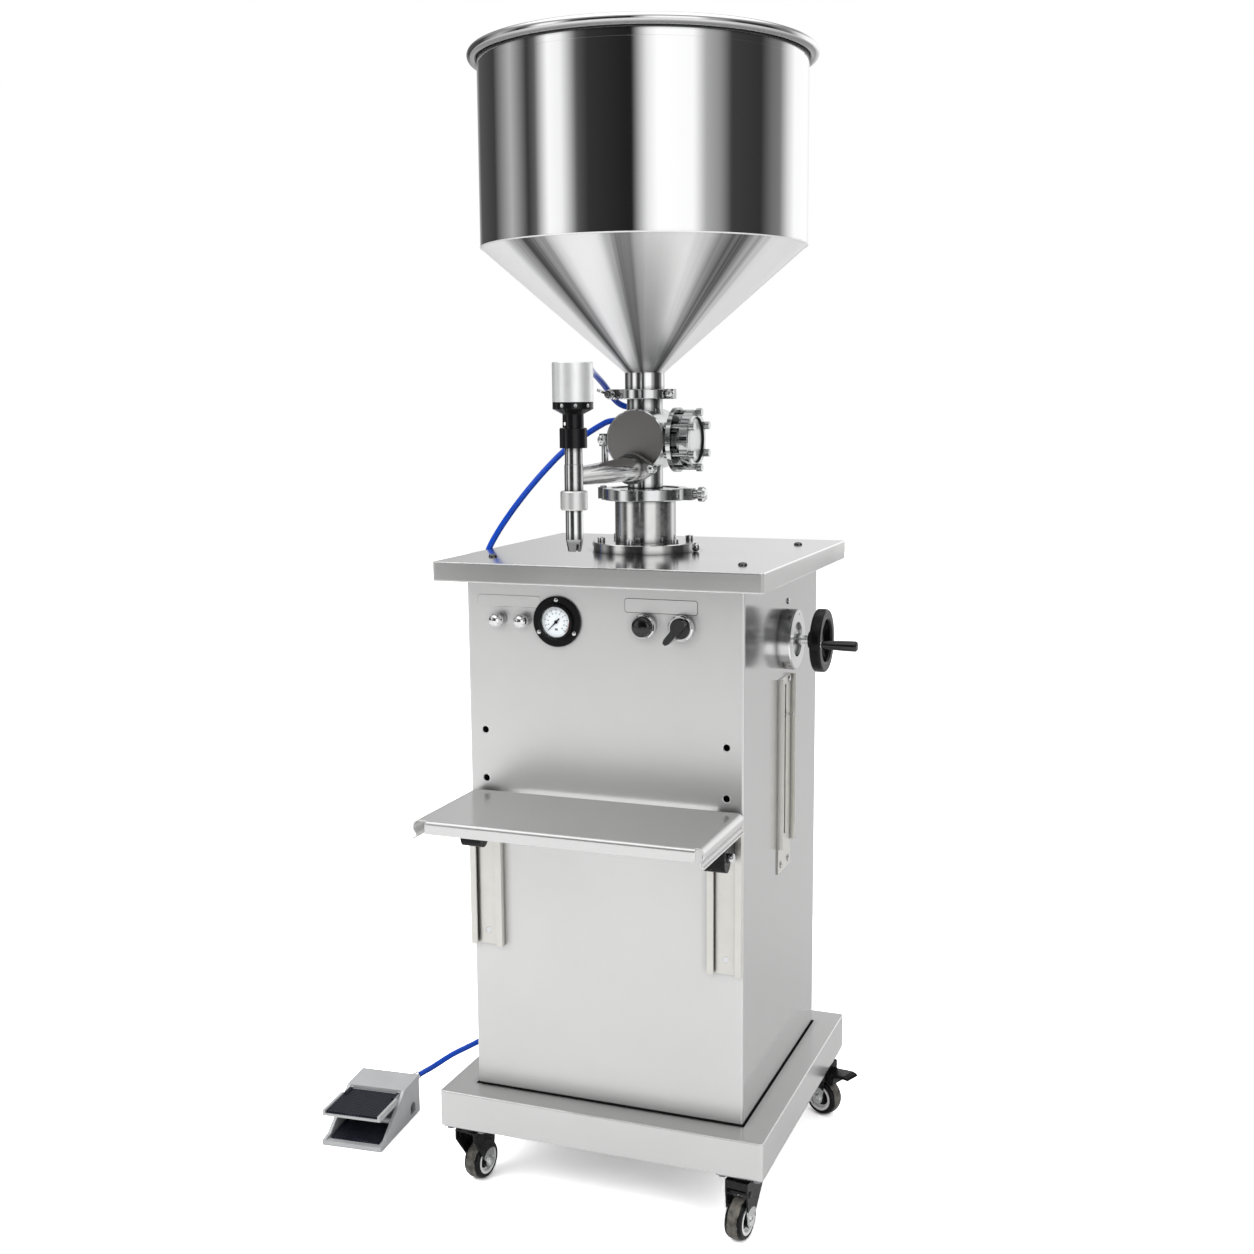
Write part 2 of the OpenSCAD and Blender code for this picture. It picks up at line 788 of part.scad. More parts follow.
module cabinet() {
    opening_w = cabinet_w - 2 * cabinet_flange;
    opening_d = cabinet_d - 2 * cabinet_flange;
    color(steel) machine() difference() {
        translate([0, 0, cab_z])
            tray(cabinet_w, cabinet_d, cabinet_h, cabinet_t, cabinet_flange);
        translate([0, 0, cab_top - cabinet_t - past])
            round_plate(opening_w, opening_d, cabinet_t + 2 * past, 2);
        translate([-door_w / 2, inner_y - past, cab_mid - door_h / 2])
            cube([door_w, cabinet_t + 2 * past, door_h]);
        translate([0, -past, 0]) {
            at_rail_screws(rail_screws) cyl_y(cabinet_t + 2 * past, m5_r);
            at_rail_screws([spare_z, spare_z + hole_pitch]) cyl_y(cabinet_t + 2 * past, hole_r);
            on_front(gauge_x, control_z) cyl_y(cabinet_t + 2 * past, gauge_hole);
            at_gauge_screws() cyl_y(cabinet_t + 2 * past, m3_r);
            for (x = [button_x, selector_x])
                on_front(x, control_z) cyl_y(cabinet_t + 2 * past, switch_r + screw_gap);
            for (i = [0, 1]) on_front(speed_x + i * speed_pitch, control_z)
                cyl_y(cabinet_t + 2 * past, speed_bush_r + screw_gap);
        }
        translate([inner_x - past, head_y, wheel_z]) cyl_x(cabinet_t + 2 * past, shaft_r + 3);
        translate([inner_x - past, head_y, 0]) slot(cabinet_t + 2 * past);
        translate([-cabinet_t - past, 0, 0])
            at_scale_screws() cyl_x(cabinet_t + 2 * past, m4_r + screw_gap);
        translate([-cabinet_t - past, 0, 0])
            at_side_screw() cyl_x(cabinet_t + 2 * past, m4_r + screw_gap);
        for (p = [valve_port, foot_port])
            translate(p - [past, 0, 0]) cyl_x(cabinet_t + 2 * past, port_hole);
        translate(inlet_port - [0, cabinet_t + past, 0]) cyl_y(cabinet_t + 2 * past, port_hole);
        translate([0, -cabinet_t - past, 0])
            at_rear_screws() cyl_y(cabinet_t + 2 * past, m4_r + screw_gap);
        translate([0, 0, cab_z]) at_corners(hold_x, hold_y)
            through(cabinet_t, m8_r + screw_gap);
        translate([0, 0, cab_top - cabinet_t]) at_corners(table_bolt_x, table_bolt_y)
            through(cabinet_t, m8_r + screw_gap);
    }
}

module rear_panel() {
    color(steel) machine() difference() {
        translate([0, wall_y + cabinet_t, cab_mid]) rotate([90, 0, 0])
            round_plate(door_w + 2 * panel_lap, door_h + 2 * panel_lap, cabinet_t, 6);
        translate([0, -past, 0])
            at_rear_screws() cyl_y(cabinet_t + 2 * past, m4_r + screw_gap);
    }
}

module tabletop() {
    color(steel) machine() difference() {
        translate([0, 0, table_top - table_skirt])
            tray(table_w, table_d, table_skirt, table_t, 9);
        translate([head_x, head_y, cab_top]) {
            through(table_t, meter_r + screw_gap);
            at_flange_bolts() through(table_t, m6_r + screw_gap);
        }
        translate([0, 0, cab_top]) at_corners(table_bolt_x, table_bolt_y)
            through(table_t, m8_r + screw_gap);
    }
}

module at_flange_bolts() {
    for (a = flange_angles) rotate([0, 0, a]) translate([flange_pcd, 0, 0]) children();
}

// Screws, bolts and nuts that hold the fixed parts

module side_screws() {
    for (a = [0, 180]) rotate([0, 0, a])
        translate([meter_flange_r, 0, table_top + meter_flange_t / 2]) rotate([0, 90, 0])
            dome_screw(5.5, 6, m4_r, 8);
}

module fixings() {
    color(chrome) machine() {
        at_corners(hold_x, hold_y) {
            translate([0, 0, cab_z + cabinet_t]) dome_screw(6.5, 4, m8_r, cabinet_t + strip_t + base_t + 8);
            translate([0, 0, base_top - base_t - 6]) hex_nut(13, 6, m8_r);
        }
        at_corners(table_bolt_x, table_bolt_y) {
            translate([0, 0, table_top]) dome_screw(5.5, 3.5, m8_r, table_t + cabinet_t + 8);
            translate([0, 0, cab_top - cabinet_t - 6]) hex_nut(13, 6, m8_r);
        }
        at_rear_screws() translate([0, cabinet_t, 0]) rotate([-90, 0, 0])
            dome_screw(4, 2.5, m4_r, 2 * cabinet_t + 4);
        at_rail_screws(rail_screws) translate([0, -rail_t, 0]) rotate([90, 0, 0])
            flush_screw(rail_t + cabinet_t + 5);
        at_scale_screws() translate([scale_t, 0, 0]) rotate([0, 90, 0])
            dome_screw(4, 2.5, m4_r, scale_t + cabinet_t + 4);
        at_side_screw() rotate([0, 90, 0]) {
            dome_screw(4, 2.5, m4_r, cabinet_t + 6);
            translate([0, 0, -cabinet_t - 3.2]) hex_nut(7, 3.2, m4_r);
        }
        at_gauge_screws() translate([0, -gauge_flange_t, 0]) rotate([90, 0, 0])
            dome_screw(2.8, 1.5, m3_r, gauge_flange_t + cabinet_t + 2);
    }
    color(chrome) head() {
        at_flange_bolts() {
            translate([0, 0, table_top + meter_flange_t])
                socket_screw(5, 6, m6_r, meter_flange_t + table_t + mount_t + 7);
            translate([0, 0, mount_z - 5]) hex_nut(10, 5, m6_r);
        }
        side_screws();
        translate([latch_x, latch_y, valve_z]) {
            rotate([90, 0, 0]) translate([0, 0, 5]) dome_screw(7, 9, pin_r, 14);
            translate([0, 0, -30]) cylinder(h = 22, r = 4.5);
        }
        for (i = sides) translate([i * ear_x, 0, outlet_z]) {
            translate([0, -outlet_joint - gasket_t / 2 - ear_t, 0]) rotate([90, 0, 0])
                dome_screw(5.5, 4, m5_r, 2 * ear_t + gasket_t + 6);
            translate([0, -outlet_joint + gasket_t / 2 + ear_t, 0]) rotate([-90, 0, 0])
                hex_nut(8, 4, m5_r);
        }
        translate([0, 0, frame_z]) at_corners(hanger, hanger) {
            translate([0, 0, frame_t]) hex_nut(17, 6, hanger_r);
            translate([0, 0, -nut_h]) hex_nut(17, nut_h, hanger_r);
        }
    }
}

module flush_screw(length) {
    rotate_extrude() polygon([[0, 0], [m5_r + 1.9, 0], [m5_r, -1.9], [m5_r, -length],
        [0, -length]]);
}

// Metering cylinder, its piston and rod

module metering_cylinder() {
    color(steel) head() difference() {
        union() {
            translate([0, 0, tube_low]) cylinder(h = joint_z - gasket_t / 2 - tube_low, r = meter_r);
            translate([0, 0, table_top]) chamfered(meter_flange_t, meter_flange_r, 1);
            translate([0, 0, joint_z - gasket_t / 2 - ferrule_t])
                cylinder(h = ferrule_t, r = ferrule_r);
        }
        translate([0, 0, tube_low]) through(joint_z - tube_low, meter_bore);
        translate([0, 0, table_top]) at_flange_bolts()
            through(meter_flange_t, m6_r + screw_gap);
        for (a = [0, 180]) rotate([0, 0, a])
            translate([meter_flange_r - 10, 0, table_top + meter_flange_t / 2])
                cyl_x(10 + past, m4_r);
    }
}

module metering_piston() {
    body_r = meter_bore - 0.4;
    groove_r = meter_bore - 3;
    seal_h = 5;
    seal_levels = [piston_z + 6, piston_top - 6 - seal_h];
    color(white) head() difference() {
        translate([0, 0, piston_z]) cylinder(h = piston_h, r = body_r);
        for (z = seal_levels) translate([0, 0, z]) ring(seal_h, body_r + past, groove_r);
        translate([0, 0, piston_z - past]) cylinder(h = piston_h - 8 + past, r = rod_r + run_gap);
    }
    color(black) head() for (z = seal_levels)
        translate([0, 0, z + 0.1]) ring(seal_h - 0.2, meter_bore - run_gap, groove_r);
}

module piston_rod() {
    rod_top = piston_top - 8;
    color(chrome) head() rotate_extrude() polygon([
        [0, drive_piston_z], [drive_bore - run_gap, drive_piston_z],
        [drive_bore - run_gap, drive_piston_z + drive_piston_h],
        [drive_rod_r, drive_piston_z + drive_piston_h], [drive_rod_r, coupling_z],
        [coupling_r - 2, coupling_z], [coupling_r, coupling_z + 2],
        [coupling_r, coupling_z + coupling_h - 2], [coupling_r - 2, coupling_z + coupling_h],
        [rod_r, coupling_z + coupling_h], [rod_r, rod_top], [0, rod_top]]);
}

// Frame that hangs the drive cylinder under the tabletop

module drive_frame() {
    color(steel) head() {
        difference() {
            translate([0, 0, mount_z]) round_plate(mount_side, mount_side, mount_t, 8);
            translate([0, 0, mount_z]) {
                through(mount_t, meter_r + screw_gap);
                at_flange_bolts() through(mount_t, m6_r + screw_gap);
            }
        }
        at_corners(hanger, hanger) translate([0, 0, frame_z - nut_h - 3])
            cylinder(h = mount_z - frame_z + nut_h + 4, r = hanger_r);
        difference() {
            translate([0, 0, frame_z]) round_plate(frame_side, frame_side, frame_t, 8);
            translate([0, 0, frame_z]) {
                through(frame_t, drive_rod_r + 3);
                at_corners(hanger, hanger) through(frame_t, hanger_r + run_gap);
                at_corners(tie_bar, tie_bar) through(frame_t, tie_r + run_gap);
            }
        }
    }
}

module drive_cap() {
    difference() {
        round_plate(cap_side, cap_side, cap_h, 6);
        at_corners(tie_bar, tie_bar) through(cap_h, tie_r + run_gap);
        translate([0, -cap_side / 2 - past, cap_h / 2]) cyl_y(12, port_r);
    }
}

module drive_cylinder() {
    color(aluminium) head() {
        translate([0, 0, barrel_top]) difference() {
            drive_cap();
            through(cap_h, drive_rod_r + run_gap);
        }
        translate([0, 0, cap_low]) drive_cap();
        translate([0, 0, barrel_low]) ring(barrel_len, drive_bore + drive_wall, drive_bore);
    }
    color(chrome) head() at_corners(tie_bar, tie_bar) {
        translate([0, 0, cap_low - 9]) cylinder(h = frame_z + frame_t + 9 - cap_low, r = tie_r);
        translate([0, 0, cap_low - 6]) hex_nut(13, 6, tie_r);
    }
}

// Filling valve: the drum, its turning plug, its actuator and its side cap

module ear_plate(t) {
    a = acos((ear_plate_r - ear_r) / ear_x);
    cut = [ear_plate_r * cos(a), ear_plate_r * sin(a)];
    tip = [ear_x + ear_r * cos(a), ear_r * sin(a)];
    difference() {
        linear_extrude(t) {
            circle(ear_plate_r);
            for (i = sides) {
                translate([i * ear_x, 0]) circle(ear_r);
                polygon([[i * cut[0], cut[1]], [i * tip[0], tip[1]],
                    [i * tip[0], -tip[1]], [i * cut[0], -cut[1]]]);
            }
        }
        for (i = sides) translate([i * ear_x, 0, 0]) through(t, m5_r + screw_gap);
    }
}

module to_front(y, z) {
    translate([0, -y, z]) rotate([90, 0, 0]) children();
}

module at_swing_bolts() {
    for (a = swing_angles) rotate([a, 0, 0]) translate([0, 0, swing_pcd]) children();
}

module valve_body() {
    drum_len = valve_front + valve_rear;
    color(grey_face) head() difference() {
        union() {
            translate([0, valve_rear, valve_z]) rotate([90, 0, 0])
                chamfered(drum_len, valve_r, 1.5);
            translate([0, 0, joint_z + gasket_t / 2]) {
                cylinder(h = ferrule_t, r = ferrule_r);
                cylinder(h = valve_rise, r = stub_r);
            }
            translate([0, 0, valve_z]) cylinder(h = stub_rise - gasket_t / 2, r = stub_r);
            translate([0, 0, stub_z - gasket_t / 2 - hopper_ferrule_t])
                cylinder(h = hopper_ferrule_t, r = hopper_ferrule_r);
            translate([0, 0, valve_z]) {
                cyl_x(side_face, side_r);
                translate([side_flange_x, 0, 0]) cyl_x(side_flange_t, side_flange_r);
                translate([side_face - 3, 0, 0]) cyl_x(3, side_lip_r);
            }
            to_front(0, outlet_z) cylinder(h = outlet_joint - gasket_t / 2, r = outlet_r);
            to_front(outlet_joint - gasket_t / 2 - ear_t, outlet_z) ear_plate(ear_t);
            translate([latch_x - 6, latch_y - 5, valve_z - 8]) cube([18, 10, 16]);
        }
        translate([0, rotor_front - valve_front, valve_z]) cyl_y(drum_len, rotor_r);
        translate([0, 0, valve_z]) cylinder(h = stub_rise, r = stub_bore);
        translate([0, 0, joint_z]) cylinder(h = valve_rise, r = rotor_bore);
        translate([0, 0, valve_z]) {
            cyl_x(side_face + past, side_bore);
            at_swing_bolts() translate([side_flange_x - past, 0, 0])
                cyl_x(side_flange_t + 2 * past, pin_r + screw_gap);
        }
        to_front(0, outlet_z) cylinder(h = outlet_joint, r = outlet_bore);
        translate([latch_x, latch_y - 6, valve_z]) cyl_y(12, pin_r + screw_gap);
    }
}

module valve_rotor() {
    rotor_y = rotor_front - valve_front + hair;
    color(steel) head() difference() {
        union() {
            translate([0, rotor_y, valve_z]) cyl_y(valve_rear - rotor_y, rotor_r - run_gap);
            translate([0, valve_rear - past, valve_z])
                cyl_y(actuator_y - valve_rear + past + 22, stem_r);
        }
        translate([0, 0, valve_z - rotor_r]) through(2 * rotor_r, rotor_bore);
    }
}

module valve_actuator() {
    color(steel) head() {
        translate([0, cover_y, valve_z]) rotate([-90, 0, 0]) {
            ring(cover_t, valve_r, stem_r + run_gap);
            for (i = sides, j = sides) translate([i * actuator_post, j * actuator_post, cover_t])
                cylinder(h = actuator_gap, r = 4);
        }
    }
    color(white) head() translate([0, valve_rear, valve_z]) rotate([-90, 0, 0])
        ring(gasket_t, valve_r - 2, rotor_r + 2);
    color(aluminium) head() difference() {
        translate([0, actuator_y + actuator_len, valve_z]) rotate([90, 0, 0])
            round_plate(actuator_side, actuator_side, actuator_len, 5);
        translate([0, actuator_y - past, valve_z]) cyl_y(24 + past, stem_r + run_gap);
    }
}

module cleanout_cap() {
    color(chrome) head() translate([cap_face, 0, valve_z]) difference() {
        rotate([0, 90, 0]) rotate_extrude() polygon([[0, 0], [cap_r - 1, 0], [cap_r, 1],
            [cap_r, cap_t - 1.5], [cap_r - 1.5, cap_t], [28.5, cap_t], [28.5, cap_t - 2.5],
            [0, cap_t - 2.5]]);
        at_swing_bolts() translate([-past, 0, 0]) cyl_x(cap_t + 2 * past, pin_r + hair);
    }
    color(chrome) head() translate([0, 0, valve_z]) at_swing_bolts() {
        translate([side_flange_x - 3.5, 0, 0]) cyl_x(3.5, 5);
        translate([side_flange_x - 1, 0, 0]) cyl_x(cap_face + cap_t + 8 - side_flange_x, pin_r);
        translate([cap_face + cap_t, 0, 0]) cyl_x(7, 5);
    }
}

// Clamps that hold the pipe joints together, each a ring of two halves with lugs

module clamp_ring(r_out, r_in, r_lip, h, groove) {
    rotate_extrude() polygon([[r_lip, -h / 2], [r_out - 1, -h / 2], [r_out, 1 - h / 2],
        [r_out, h / 2 - 1], [r_out - 1, h / 2], [r_lip, h / 2], [r_lip, groove / 2],
        [r_in, groove / 2], [r_in, -groove / 2], [r_lip, -groove / 2]]);
}

module lug(x, length, w, h) {
    translate([x, -w / 2, -h / 2]) cube([length, w, h]);
}

module split(reach, h) {
    translate([-reach, -0.8, -h]) cube([2 * reach, 1.6, 2 * h]);
}

module pipe_clamps() {
    color(chrome) head() {
        translate([0, 0, joint_z]) {
            difference() {
                union() {
                    clamp_ring(meter_clamp_r, ferrule_r + screw_gap, ferrule_r - 4,
                        meter_clamp_h, 2 * ferrule_t + gasket_t + 2 * screw_gap);
                    lug(meter_clamp_r - 1, 12, 14, meter_clamp_h);
                    lug(-meter_clamp_r - 8, 9, 14, meter_clamp_h);
                }
                split(meter_clamp_r + 20, meter_clamp_h);
                translate([ferrule_r, 0, 0]) cyl_x(30, pin_r + run_gap);
                translate([-meter_clamp_r - 3, 0, -meter_clamp_h])
                    cylinder(h = 2 * meter_clamp_h, r = m5_r + run_gap);
            }
            translate([-meter_clamp_r - 3, 0, meter_clamp_h / 2])
                dome_screw(m5_r + 2, 2.5, m5_r, meter_clamp_h + 2);
        }
        translate([0, 0, stub_z]) {
            difference() {
                union() {
                    clamp_ring(hopper_clamp_r, hopper_ferrule_r + screw_gap, hopper_neck_r + 0.6,
                        hopper_clamp_h, 2 * hopper_ferrule_t + gasket_t + 2 * screw_gap);
                    lug(hopper_clamp_r - 2, 10, 12, hopper_clamp_h);
                    lug(-hopper_clamp_r - 16, 18, 12, hopper_clamp_h);
                }
                split(hopper_clamp_r + 20, hopper_clamp_h);
                translate([hopper_bolt_x, -10, 0]) cyl_y(20, m5_r + run_gap);
                translate([wing_x, -10, 0]) cyl_y(20, pin_r + run_gap);
            }
            translate([hopper_bolt_x, 6, 0]) rotate([-90, 0, 0]) dome_screw(4.5, 3, m5_r, 14);
            translate([hopper_bolt_x, -6, 0]) rotate([90, 0, 0]) difference() {
                rotate_extrude() polygon(concat([[0, 0], [6, 0]],
                    [for (a = [0:15:90]) [6 * cos(a), 3 + 5 * sin(a)]]));
                translate([0, 0, -past]) cylinder(h = 3 + past, r = m5_r);
            }
            translate([wing_x, 6, 0]) rotate([-90, 0, 0]) dome_screw(5.5, 4, pin_r, 26);
        }
    }
    color(white) head() {
        translate([0, 0, joint_z - gasket_t / 2]) ring(gasket_t, ferrule_r - 2, meter_bore);
        translate([0, 0, stub_z - gasket_t / 2]) ring(gasket_t, hopper_ferrule_r - 1, stub_bore);
        translate([side_face, 0, valve_z]) rotate([0, 90, 0])
            ring(gasket_t, side_lip_r, side_bore);
        to_front(outlet_joint - gasket_t / 2, outlet_z)
            ring(gasket_t, ear_plate_r - 2, outlet_bore);
    }
}

// Wing nut on the hopper clamp's bolt
module hopper_wing_nut() {
    hub_h = 9;
    color(chrome) head() translate([wing_x, -6 - hair, stub_z]) rotate([90, wing_tilt, 0])
        difference() {
            union() {
                rotate_extrude() polygon([[0, 0], [6.5, 0], [5, hub_h], [0, hub_h]]);
                for (i = sides) translate([0, 1.6, 0]) rotate([90, 0, 0]) linear_extrude(3.2) {
                    translate([i * 10.3, hub_h + 3]) circle(4.2);
                    polygon([[i * 3, 3], [i * 6, 3], [i * 14.2, hub_h + 2],
                        [i * 7, hub_h + 6], [i * 3, hub_h - 2]]);
                }
            }
            translate([0, 0, -past]) cylinder(h = hub_h + 2 * past, r = pin_r + run_gap);
        }
}

// Round locking knob on the metering cylinder's clamp
module clamp_knob() {
    tip_x = ferrule_r + 3;
    knob_x = meter_clamp_r + 11 + hair;
    color(chrome) head() translate([tip_x, 0, joint_z]) rotate([0, 90, 0]) rotate_extrude()
        polygon([[0, 0], [pin_r, 0], [pin_r, knob_x - tip_x], [6, knob_x - tip_x],
            [6, knob_x - tip_x + 5], [9.5, knob_x - tip_x + 7], [9.5, knob_x - tip_x + 13],
            [7, knob_x - tip_x + 16], [0, knob_x - tip_x + 17]]);
}

module hopper() {
    bore = hopper_neck_r - hopper_t;
    top_in = hopper_r - hopper_t;
    color(steel) head() rotate_extrude() {
        polygon([[bore, neck_z], [hopper_ferrule_r, neck_z],
            [hopper_ferrule_r, neck_z + hopper_ferrule_t],
            [hopper_neck_r, neck_z + hopper_ferrule_t], [hopper_neck_r, cone_z],
            [hopper_r, shell_z], [hopper_r, rim_z], [top_in, rim_z], [top_in, shell_z],
            [bore, cone_z + hopper_t]]);
        translate([rim_r, rim_z]) circle(rim_bead_r);
    }
}

// Outlet pipe with its tee, and the filling nozzle

module outlet_pipe() {
    pipe_y = outlet_joint + gasket_t / 2;
    color(steel) difference() {
        union() {
            head() to_front(pipe_y, outlet_z) {
                ear_plate(ear_t);
                rotate_extrude() polygon([[0, 0], [outlet_r + 2.5, 0], [outlet_r + 2.5, ear_t + 2],
                    [nozzle_r + 0.2, nozzle_reach - pipe_y], [0, nozzle_reach - pipe_y]]);
            }
            nozzle_axis() {
                translate([0, 0, tee_low]) cylinder(h = tee_top - tee_low, r = tee_r);
                translate([0, 0, outlet_z]) cylinder(h = tube_top - outlet_z, r = nozzle_r);
            }
        }
        head() to_front(pipe_y - past, outlet_z)
            cylinder(h = nozzle_reach - pipe_y + past, r = nozzle_bore);
        nozzle_axis() translate([0, 0, tee_low]) through(tube_top - tee_low, nozzle_bore);
    }
}

// Nozzle tip with its collar and slotted end, and the union nut that holds it
module nozzle_tip() {
    collar_h = 6;
    taper_z = seat_z + 1;
    inner_r = plug_r + 1.2;
    color(steel) nozzle_axis() difference() {
        rotate_extrude() polygon([[plug_r + run_gap, seat_z], [inner_r, seat_z - 1],
            [inner_r, tip_low], [tip_r, tip_low], [nozzle_r - 0.1, taper_z],
            [nozzle_r - 0.1, tip_top - collar_h], [collar_r, tip_top - collar_h],
            [collar_r, tip_top], [nozzle_bore, tip_top], [nozzle_bore, seat_z + seat_h + 2],
            [plug_r + run_gap, seat_z + seat_h]]);
        for (a = [45, 135]) rotate([0, 0, a])
            translate([-nozzle_r, -1.5, tip_low - past]) cube([2 * nozzle_r, 3, 9 + past]);
    }
    color(chrome) nozzle_axis() translate([0, 0, nut_z]) rotate_extrude() polygon([
        [nozzle_r, 0], [union_r - 1.5, 0], [union_r, 1.5], [union_r, union_h - 1.5],
        [union_r - 1.5, union_h], [tee_r + run_gap, union_h],
        [tee_r + run_gap, tee_low - nut_z], [collar_r + run_gap, tee_low - nut_z],
        [collar_r + run_gap, tip_top - collar_h - nut_z], [nozzle_r, tip_top - collar_h - nut_z]]);
}

// Adapter between the nozzle's tube and its air cylinder, with vent holes and a lock ring
module nozzle_adapter() {
    neck_r = nozzle_r + 2;
    rim = air_cylinder_r - 0.1;
    flare_z = adapter_z + adapter_neck;
    color(black) nozzle_axis() {
        difference() {
            rotate_extrude() polygon([[nozzle_stem_r + run_gap, tube_top + hair],
                [nozzle_r + run_gap, tube_top + hair], [nozzle_r + run_gap, adapter_z],
                [neck_r, adapter_z], [neck_r, flare_z], [rim, rim_low], [rim, air_z],
                [air_bore - run_gap, air_z], [air_bore - run_gap, spring_z],
                [nozzle_stem_r + run_gap, spring_z]]);
            for (a = [-100:40:80]) rotate([0, 0, a])
                translate([neck_r + 1, 0, flare_z + 4]) rotate([0, 60, 0])
                    cylinder(h = 20, r = 1.8);
        }
        translate([0, 0, lock_z]) difference() {
            chamfered(lock_h, union_r, 1);
            through(lock_h, nozzle_r + run_gap);
        }
    }
}

module nozzle_air_cylinder() {
    color(aluminium) nozzle_axis() difference() {
        translate([0, 0, air_z]) chamfered(air_cylinder_h, air_cylinder_r, 1);
        translate([0, 0, air_z - past]) cylinder(h = air_roof - air_z + past, r = air_bore);
        translate([0, 0, air_port_z]) cyl_y(air_cylinder_r + past, 2);
    }
}

// Shut-off stem with its air piston and plug
module nozzle_stem() {
    color(chrome) nozzle_axis() rotate_extrude() polygon([[0, seat_z - 1],
        [plug_r - 1, seat_z - 1], [plug_r, seat_z], [plug_r, seat_z + seat_h - 0.5],
        [nozzle_stem_r, seat_z + seat_h + 2], [nozzle_stem_r, stem_piston_z],
        [air_bore - run_gap, stem_piston_z], [air_bore - run_gap, stem_piston_z + stem_piston_h],
        [0, stem_piston_z + stem_piston_h]]);
}

// Spring under the stem's air piston
module nozzle_spring() {
    coil_r = 9;
    wire_r = 0.7;
    turns = 4;
    per_turn = 12;
    last = turns * per_turn;
    rings = [for (i = [0:last]) let (a = i * 360 / per_turn)
        [coil_r * cos(a), coil_r * sin(a), spring_z + wire_r + (spring_h - 2 * wire_r) * i / last]];
    color(steel) nozzle_axis() tube_along(rings, rings[1] - rings[0], rings[last] - rings[last - 1],
        wire_r, 6, [0, 0, 1]);
}

// Stroke drive inside the cabinet's right wall

module at_screw() {
    machine() translate([screw_x, head_y, 0]) children();
}

module on_shaft() {
    machine() translate([0, head_y, wheel_z]) rotate([0, 90, 0]) children();
}

module bearing_blocks() {
    frame_in = gear_half + gear_wall;
    wall_gap = inner_x - screw_x;
    color(steel) on_shaft() translate([0, 0, wall_x]) difference() {
        chamfered(housing_t, housing_r, 1.5);
        through(housing_t, shaft_r + run_gap);
        translate([0, 0, housing_t - housing_recess]) cylinder(h = housing_t, r = housing_r - 16.5);
        translate([7.5 - housing_r, 7, housing_t - 6]) cylinder(h = housing_t, r = 1.2);
    }
    color(aluminium) at_screw() {
        difference() {
            translate([-frame_in, -gear_depth, wheel_z - frame_in])
                cube([wall_gap + frame_in, 2 * gear_depth, 2 * frame_in]);
            translate([-gear_half, -gear_depth - past, wheel_z - gear_half])
                cube([wall_gap - gear_wall + gear_half, 2 * gear_depth + 2 * past, 2 * gear_half]);
            translate([0, 0, wheel_z]) cyl_x(wall_gap + past, shaft_r + run_gap);
            translate([0, 0, wheel_z - frame_in]) through(gear_wall, screw_r + run_gap);
        }
        difference() {
            translate([-10, -14, bracket_top - screw_bracket_t])
                cube([wall_gap + 10, gear_depth + 14, screw_bracket_t]);
            translate([0, 0, bracket_top - screw_bracket_t])
                through(screw_bracket_t, screw_r + run_gap);
        }
        translate([0, guide_y, bracket_top - 1])
            cylinder(h = wheel_z - frame_in - bracket_top + 2, r = guide_r);
    }
}

// Vertical screw with the lower mitre blank
module lead_screw() {
    gear_z = wheel_z - hair;
    color(chrome) at_screw() rotate_extrude() polygon([[0, screw_low], [screw_r, screw_low],
        [screw_r, bracket_top + hair], [screw_r + 3, bracket_top + hair],
        [screw_r + 3, bracket_top + hair + 5], [screw_r, bracket_top + hair + 5],
        [screw_r, wheel_z - gear_half + hair], [10, wheel_z - gear_half + hair],
        [10, gear_z - gear_out - 2], [gear_out, gear_z - gear_out - 2],
        [gear_out, gear_z - gear_out], [gear_in, gear_z - gear_in], [0, gear_z - gear_in]]);
}

// Handwheel with its shaft, the upper mitre blank and the grip's pin
module handwheel() {
    hub_x = handwheel_x - 16;
    hub_r = shaft_r + 3.5;
    neck_r = shaft_r - 1.5;
    step_x = housing_x + 5;
    spoke_x = handwheel_x - 8;
    spoke_r = 3.5;
    lean = atan2(rim_mid, handwheel_x - spoke_x);
    color(black) on_shaft() {
        rotate_extrude() {
            polygon([[0, screw_x + gear_in + hair], [gear_in, screw_x + gear_in + hair],
                [gear_out, screw_x + gear_out + hair], [gear_out, screw_x + gear_out + hair + 2],
                [10, screw_x + gear_out + hair + 2], [10, inner_x - gear_wall - hair],
                [shaft_r, inner_x - gear_wall - hair], [shaft_r, step_x], [neck_r, step_x],
                [neck_r, hub_x], [hub_r, hub_x],
                [hub_r, handwheel_x - 2], [hub_r - 2, handwheel_x], [0, handwheel_x]]);
            translate([rim_mid, handwheel_x]) round_rect(handwheel_rim_d, handwheel_rim_w, 3);
        }
        for (a = [30:120:270]) rotate([0, 0, a]) translate([0, 0, spoke_x])
            rotate([0, lean, 0]) cylinder(h = rim_mid, r = spoke_r);
        translate([0, -rim_mid, handwheel_x]) {
            cylinder(h = grip_x - handwheel_x + 1.2, r = grip_pin_r + 2);
            cylinder(h = grip_x - handwheel_x + grip_len - 3, r = grip_pin_r);
        }
    }
}

module handwheel_grip() {
    start = 1.5;
    profile = [for (t = [0:0.125:1]) [5.3 + 1.3 * sin(90 * t), start + 2 + (grip_len - start - 4) * t]];
    color(black) on_shaft() translate([0, -rim_mid, grip_x]) rotate_extrude()
        polygon(concat([[grip_pin_r + run_gap, start], [4.8, start]], profile,
            [[5, grip_len], [0, grip_len], [0, grip_len - 2.5],
                [grip_pin_r + run_gap, grip_len - 2.5]]));
}

